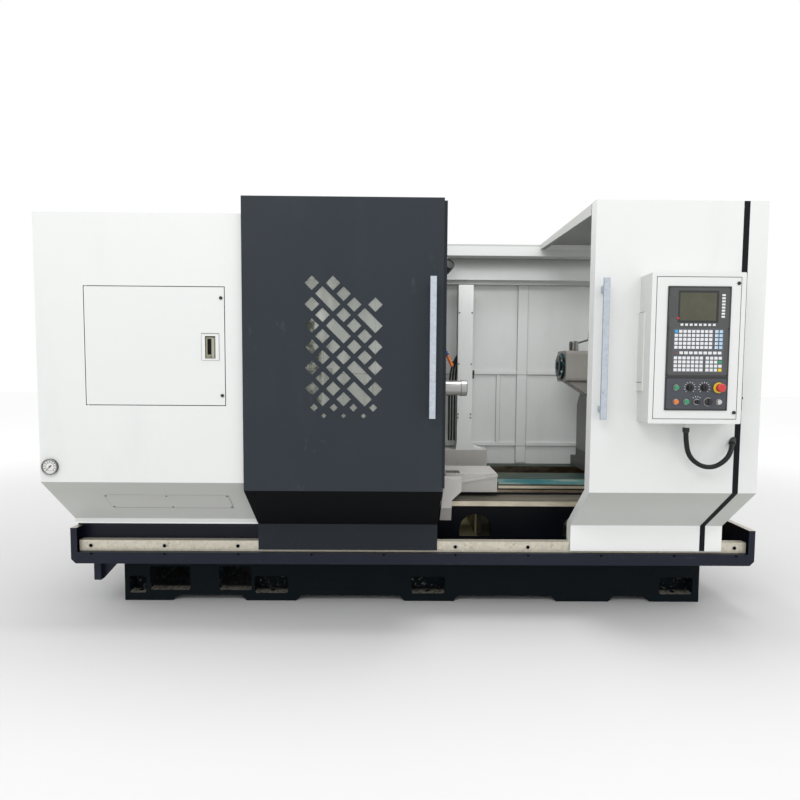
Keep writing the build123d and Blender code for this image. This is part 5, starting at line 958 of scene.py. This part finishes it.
def make_rail_screws():
    """Socket screws with washers along the rail, and the small plugs of the tray below them."""
    screws = [-1.780, -1.377, -0.974, -0.573, -0.171, 0.226, 0.628, 1.029, 1.431, 1.778]
    places = [(x, RAIL_FRONT_Y - 0.001, RAIL_SCREW_Z) for x in screws]
    cap_screws("rail_screw", places, 0.0085, shade_black, "machine")
    seat = (screws[0], RAIL_FRONT_Y - 0.0006, RAIL_SCREW_Z)
    first = ring("rail_washer_1", seat, (0.01008, 0.00192), (28, 8), turned_x, 60)
    copies(first, "rail_washer", [(x - screws[0], 0, 0) for x in screws[1:]], "machine")
    plugs = [-1.764, -1.366, -0.964, -0.564, -0.169, 0.224, 0.624, 1.027, 1.430, 1.773]
    places = [(x, TRAY_FRONT_Y - 0.0005, TRAY_PLUG_Z) for x in plugs]
    cap_screws("tray_plug", places, 0.0055, shade_black, "machine")


def make_panel_screws():
    """Locks of the service door and the control box, and the corner screws of its two panels."""
    face = HOUSING_Y - 0.001
    places = [(-0.966, face, 1.704), (-0.964, face, 1.226)]
    cap_screws("housing_lock", places, 0.008, black_plastic, "service_door")
    face = BOX_FRONT_Y - 0.001
    cap_screws("box_lock", [(1.492, face, 1.773), (1.493, face, 1.168)], 0.008, black_plastic, "panel_door")
    corners = [(1.168, 1.751), (1.451, 1.751), (1.168, 1.562), (1.451, 1.562), (1.168, 1.345), (1.451, 1.345)]
    corners += [(1.167, 1.330), (1.452, 1.330), (1.167, 1.184), (1.452, 1.184)]
    places = [(x, UNIT_FRONT_Y - 0.0004, z) for x, z in corners]
    cap_screws("unit_screw", places, 0.0035, black_plastic, "panel_door")


def make_stripe():
    """Black film down the hood's folded front."""
    start()
    lift = 0.0006
    drop = lift * tan(atan2(SKIRT_Y - FRONT_Y, FOLD_Z - SKIRT_TOP_Z) / 2)
    front = FRONT_Y - lift
    top, fold = TOP_Z - 0.002, FOLD_Z - drop
    bpy.ops.mesh.primitive_plane_add(size=1, location=(STRIPE_X, front, (top + fold) / 2))
    piece = bpy.context.object
    piece.scale = (STRIPE_WIDTH, top - fold, 1)
    piece.rotation_euler = (radians(90), 0, 0)
    bpy.ops.object.transform_apply(location=True, rotation=True, scale=True)
    bpy.ops.object.mode_set(mode="EDIT")
    bpy.ops.mesh.select_mode(type="EDGE")
    steps = [
        (0, SKIRT_Y - FRONT_Y, SKIRT_TOP_Z - FOLD_Z),
        (0, 0, SKIRT_BOTTOM_Z - SKIRT_TOP_Z + drop + 0.002),
    ]
    for step in steps:
        bpy.ops.mesh.select_all(action="DESELECT")
        work = bmesh.from_edit_mesh(piece.data)
        lowest = min(v.co.z for v in work.verts)
        for edge in work.edges:
            edge.select = all(v.co.z < lowest + 1e-4 for v in edge.verts)
        bmesh.update_edit_mesh(piece.data)
        bpy.ops.mesh.extrude_edges_move(TRANSFORM_OT_translate={"value": step})
    bpy.ops.mesh.select_all(action="SELECT")
    bpy.ops.mesh.normals_make_consistent(inside=False)
    bpy.ops.object.mode_set(mode="OBJECT")
    apply_modifier("SOLIDIFY", thickness=0.0004, offset=0)
    settle("hood_stripe", stripe_black, "hood", 0)


def make_gauge_rings():
    """Rounded bezel, inner scale ring and printed marks of the pressure gauge."""
    ring("gauge_bezel", (GAUGE_X, HOUSING_Y - 0.0118, GAUGE_Z), (0.0375, 0.0028), (48, 10), dark_steel)
    ring("gauge_scale", (GAUGE_X, HOUSING_Y - 0.0072, GAUGE_Z), (0.0205, 0.0007), (40, 6), black_plastic)
    marks = [(GAUGE_X, HOUSING_Y - 0.0073, GAUGE_Z, 0.0275, 11, 27)]
    dial_marks("gauge_marks", marks, (0.0024, 0.0006, 0.0080), black_plastic, "machine")


def make_knob_scales():
    """Pale printed marks around the two override knobs, the selector and the jog dial."""
    face = UNIT_FRONT_Y - 0.0006
    overrides = [(1.278, face, 1.285, 0.0245, 11, 27), (1.346, face, 1.285, 0.0245, 11, 27)]
    selector = [(1.312, face, 1.218, 0.0250, 4, 26)]
    dial_marks("override_scales", overrides, (0.0020, 0.0010, 0.0080), print_white, "panel_door")
    dial_marks("selector_marks", selector, (0.0032, 0.0010, 0.0050), print_white, "panel_door")
    jog = [(1.366, UNIT_FRONT_Y - 0.0023, 1.218, 0.0190, 20, 18)]
    dial_marks("jog_marks", jog, (0.0016, 0.0006, 0.0026), print_white, "panel_door")


def make_cover_screws():
    """Round-head screws along the slope cover's edges."""
    slope = Vector((0, 0.280, -0.257)).normalized()
    outward = Vector((0, -0.257, -0.280)).normalized()
    middle = Vector((-1.291, (HOUSING_Y - 0.395) / 2, (0.790 + 0.533) / 2)) + outward * 0.0015
    start()
    bpy.ops.mesh.primitive_uv_sphere_add(segments=16, ring_count=8, radius=0.006)
    head = bpy.context.object
    head.scale = (1, 1, 0.45)
    head.rotation_euler = outward.to_track_quat("Z", "Y").to_euler()
    column = 0.312
    head.location = middle + Vector((-column, 0, 0)) + slope * 0.0555
    first = settle("cover_screw_1", dark_steel, "machine", 60)
    offsets = []
    for across in (0, column, 2 * column):
        for down in (0, -0.113):
            if across or down:
                offsets.append(Vector((across, 0, 0)) + slope * down)
    copies(first, "cover_screw", offsets, "machine")


def make_box_clip():
    """Black clip with a small knob and a steel foot on the control box's right side."""
    plate("box_clip", (1.5275, -0.812, 1.180), (1.5345, -0.790, 1.312), black_plastic, "hood", 0.0015)
    start()
    place = (1.538, -0.801, 1.236)
    bpy.ops.mesh.primitive_uv_sphere_add(segments=20, ring_count=12, radius=0.007, location=place)
    select_faces(lambda centre, normal: normal.x > 0.8)
    bpy.ops.transform.resize(value=(1, 0.8, 0.8))
    bpy.ops.object.mode_set(mode="OBJECT")
    settle("box_clip_knob", black_plastic, "hood", 60)
    plate("box_clip_foot", (1.5275, -0.814, 1.150), (1.5320, -0.788, 1.176), dark_steel, "hood", 0.0012)


def make_exit_sleeve():
    """Tapered rubber sleeve that holds the conduit where it leaves its gland."""
    start()
    place = (1.302, -0.755, 1.080)
    bpy.ops.mesh.primitive_cylinder_add(vertices=40, radius=0.0155, depth=0.020, location=place)
    select_faces(lambda centre, normal: normal.z < -0.9)
    step_in(0.0008, -0.006)
    bpy.ops.transform.resize(value=(0.84, 0.84, 1))
    bpy.ops.object.mode_set(mode="OBJECT")
    apply_modifier("BEVEL", width=0.0012, segments=2, limit_method="ANGLE")
    settle("conduit_sleeve", rubber, "hood", 40)


# Fittings on the rear cabinet


def make_cabinet_fittings():
    """Swing handle, cover screws, hinges and ventilation louvres on the cabinet's rear cover."""
    plate("cabinet_grip_base", (-0.986, 0.8640, 1.060), (-0.952, 0.8720, 1.250), dark_steel, "machine", 0.003)
    plate("cabinet_grip", (-0.979, 0.8700, 1.075), (-0.959, 0.8880, 1.205), black_plastic, "machine", 0.005)
    places = [(x, 0.8670, z) for z in (0.358, 1.922) for x in (-1.772, -0.928)]
    cap_screws("cabinet_screw", places, 0.007, dark_steel, "machine", "back")
    low, high = (-1.8080, 0.8520, 0.520), (-1.7860, 0.8700, 0.600)
    hinge = plate("cabinet_hinge_1", low, high, dark_steel, "machine", 0.004)
    copies(hinge, "cabinet_hinge", [(0, 0, 0.580), (0, 0, 1.160)], "machine")
    low, high = (-1.530, 0.8630, 1.640), (-1.170, 0.8710, 1.654)
    louvre = plate("cabinet_louvre_1", low, high, white, "machine", 0.0035)
    copies(louvre, "cabinet_louvre", [(0, 0, 0.026 * index) for index in range(1, 8)], "machine")


# Fittings in the work zone


def make_work_lamp():
    """Round lamp on a bent arm under the fascia."""
    start()
    bpy.ops.mesh.primitive_cylinder_add(vertices=40, radius=0.038, depth=0.070)
    select_faces(lambda centre, normal: normal.z > 0.9)
    step_in(0.005, -0.010)
    step_in(0.004, 0.003)
    select_faces(lambda centre, normal: normal.z < -0.9)
    step_in(0.008, -0.012)
    bpy.ops.object.mode_set(mode="OBJECT")
    apply_modifier("BEVEL", width=0.0025, segments=2, limit_method="ANGLE")
    lamp = bpy.context.object
    lamp.rotation_euler = (radians(64), 0, radians(28))
    lamp.location = (0.222, 0.300, 2.050)
    settle("work_lamp", black_plastic, "machine", 35)
    arm = [(0.222, 0.374, 2.143), (0.222, 0.352, 2.128), (0.222, 0.330, 2.095), (0.222, 0.318, 2.070)]
    tube("lamp_arm", arm, 0.007, bright_steel, "machine")


def make_coolant_line():
    """Jointed coolant hose over the turret, blue with an orange tip, and its pipe and foot."""
    beads, tips = 22, 4
    for finish, name, first, last in (
        (blue_plastic, "coolant_link", 0, beads - tips),
        (orange, "coolant_tip", beads - tips, beads),
    ):
        places = []
        for index in range(first, last):
            t = index / (beads - 1)
            fall = 0.165 * t * t - 0.010 * sin(t * pi)
            places.append(Vector((0.075 + 0.150 * t, -0.050 - 0.02 * t, 1.560 - fall)))
        start()
        bpy.ops.mesh.primitive_uv_sphere_add(segments=20, ring_count=12, radius=0.0125, location=places[0])
        select_faces(lambda centre, normal: abs(normal.z) > 0.9)
        bpy.ops.transform.resize(value=(0.8, 0.8, 0.9), center_override=places[0])
        bpy.ops.object.mode_set(mode="OBJECT")
        bead = settle(name + "_1", finish, "tool_slide", 60)
        copies(bead, name, [place - places[0] for place in places[1:]], "tool_slide")
    riser = [(0.076, -0.106, 1.333), (0.076, -0.106, 1.440), (0.076, -0.106, 1.530)]
    riser += [(0.076, -0.088, 1.568), (0.075, -0.050, 1.561)]
    tube("coolant_riser", riser, 0.0065, turned_iron, "tool_slide")
    plate("coolant_foot", (0.064, -0.1145, 1.334), (0.0845, -0.094, 1.343), turned_iron, "tool_slide", 0.002)


def make_wall_hook():
    """Black hook on a small plate that hangs from the wall's cross rib."""
    plate("hook_plate", (0.428, 0.5725, 1.336), (0.452, 0.5780, 1.366), black_plastic, "machine", 0.0015)
    bend = [(0.440, 0.570, 1.352), (0.440, 0.548, 1.350), (0.440, 0.540, 1.325), (0.440, 0.550, 1.310)]
    tube("wall_hook", bend, 0.006, black_plastic, "machine")


def make_mast_screws():
    """Pairs of screws down the cable mast's front, closer together near its foot."""
    rows = [(0.322, 1.760), (0.321, 1.408), (0.320, 1.060), (0.320, 1.036)]
    places = [(x + side, MAST_FRONT_Y, z) for x, z in rows for side in (0, 0.086)]
    cap_screws("mast_screw", places, 0.0055, turned_iron, "carriage")


def make_mast_cables():
    """Dark cables that run down beside the mast to the saddle."""
    for index in range(3):
        x = 0.262 + 0.019 * index
        run = [(x, 0.470, 0.870), (x, 0.470, 1.05), (x, 0.470, 1.25)]
        run += [(x + 0.012, 0.474, 1.40), (0.318, 0.478, 1.47)]
        tube(f"mast_cable_{index + 1}", run, 0.0065, rubber, "carriage")


def make_quill_cap_screws():
    """Six screws in a circle on the cap around the quill."""
    places = []
    for index in range(6):
        angle = radians(60 * index + 30)
        y = SPINDLE_Y + QUILL_CAP_CIRCLE * cos(angle)
        places.append((QUILL_CAP_X, y, SPINDLE_Z + QUILL_CAP_CIRCLE * sin(angle)))
    cap_screws("cap_screw", places, 0.008, bright_steel, "tail_body", "left")


def make_saddle_rack():
    """Ribbed dark plate on a small grey block at the saddle's front left."""
    plate("rack_block", (0.184, -0.200, 0.7365), (0.274, -0.120, 0.7560), carriage_grey, "carriage", 0.002)
    low, high = (0.190, -0.196, 0.7562), (0.196, -0.124, 0.7640)
    first = plate("rack_rib_1", low, high, dark_steel, "carriage", 0.0012)
    copies(first, "rack_rib", [(0.0105 * index, 0, 0) for index in range(1, 8)], "carriage")


def make_way_wipers():
    """Black wipers at the saddle's right edges."""
    plate("front_wiper", (0.508, -0.100, 0.640), (0.516, -0.0565, 0.688), rubber, "carriage", 0.001)
    plate("rear_wiper", (0.524, 0.452, 0.692), (0.531, 0.564, 0.735), rubber, "carriage", 0.001)


make_conduit()
make_rail_screws()
make_panel_screws()
make_stripe()
make_gauge_rings()
make_knob_scales()
make_cover_screws()
make_box_clip()
make_exit_sleeve()
make_cabinet_fittings()
make_work_lamp()
make_coolant_line()
make_wall_hook()
make_mast_screws()
make_mast_cables()
make_quill_cap_screws()
make_saddle_rack()
make_way_wipers()


# Stage, lights and camera


def make_stage():
    """Pale floor that fades out to white, and a white world."""
    start()
    bpy.ops.mesh.primitive_plane_add(size=60, location=(0, 0, 0))
    floor = bpy.context.object
    floor.name = "floor"
    f = Finish("pale_floor")
    far = (f.x * f.x + f.y * f.y).math("SQRT").over(3.0, 9.0)
    floor.data.materials.append(f.done(f.mix(far, (0.62, 0.62, 0.62), (0.97, 0.97, 0.97)), 0.8, shine=0.2))
    world = bpy.data.worlds.new("studio")
    world.use_nodes = True
    world.node_tree.nodes["Background"].inputs["Color"].default_value = (1.0, 1.0, 1.0, 1)
    world.node_tree.nodes["Background"].inputs["Strength"].default_value = 1.0
    bpy.context.scene.world = world
    bpy.context.scene.view_settings.view_transform = "Standard"


def softbox(name, place, aim, size, power):
    """A soft area light turned towards its aim."""
    light = bpy.data.lights.new(name, "AREA")
    light.shape = "RECTANGLE"
    light.size, light.size_y = size
    light.energy = power
    lamp = bpy.data.objects.new(name, light)
    lamp.location = place
    lamp.rotation_euler = (Vector(aim) - Vector(place)).to_track_quat("-Z", "Y").to_euler()
    link(lamp)


def make_camera():
    """The camera, at the photograph's viewing angle."""
    camera = bpy.data.objects.new("camera", bpy.data.cameras.new("camera"))
    camera.data.sensor_width = 36
    camera.data.lens = 24.75
    camera.data.shift_x = -0.00499
    camera.data.shift_y = 0.00739
    camera.location = (-0.0914, -3.4003, 1.3458)
    camera.rotation_euler = (radians(86.536), radians(-0.4114), radians(-0.5026))
    link(camera)
    bpy.context.scene.camera = camera


make_stage()
softbox("key_light", (-2.2, -5.2, 5.4), (0, -0.4, 1.0), (4.5, 2.0), 120)
softbox("fill_light", (4.6, -3.4, 5.2), (0.4, 0, 1.0), (2.5, 1.5), 50)
softbox("top_light", (0.2, -0.4, 5.2), (0.2, 0, 0), (4.0, 2.0), 150)
make_camera()
start()
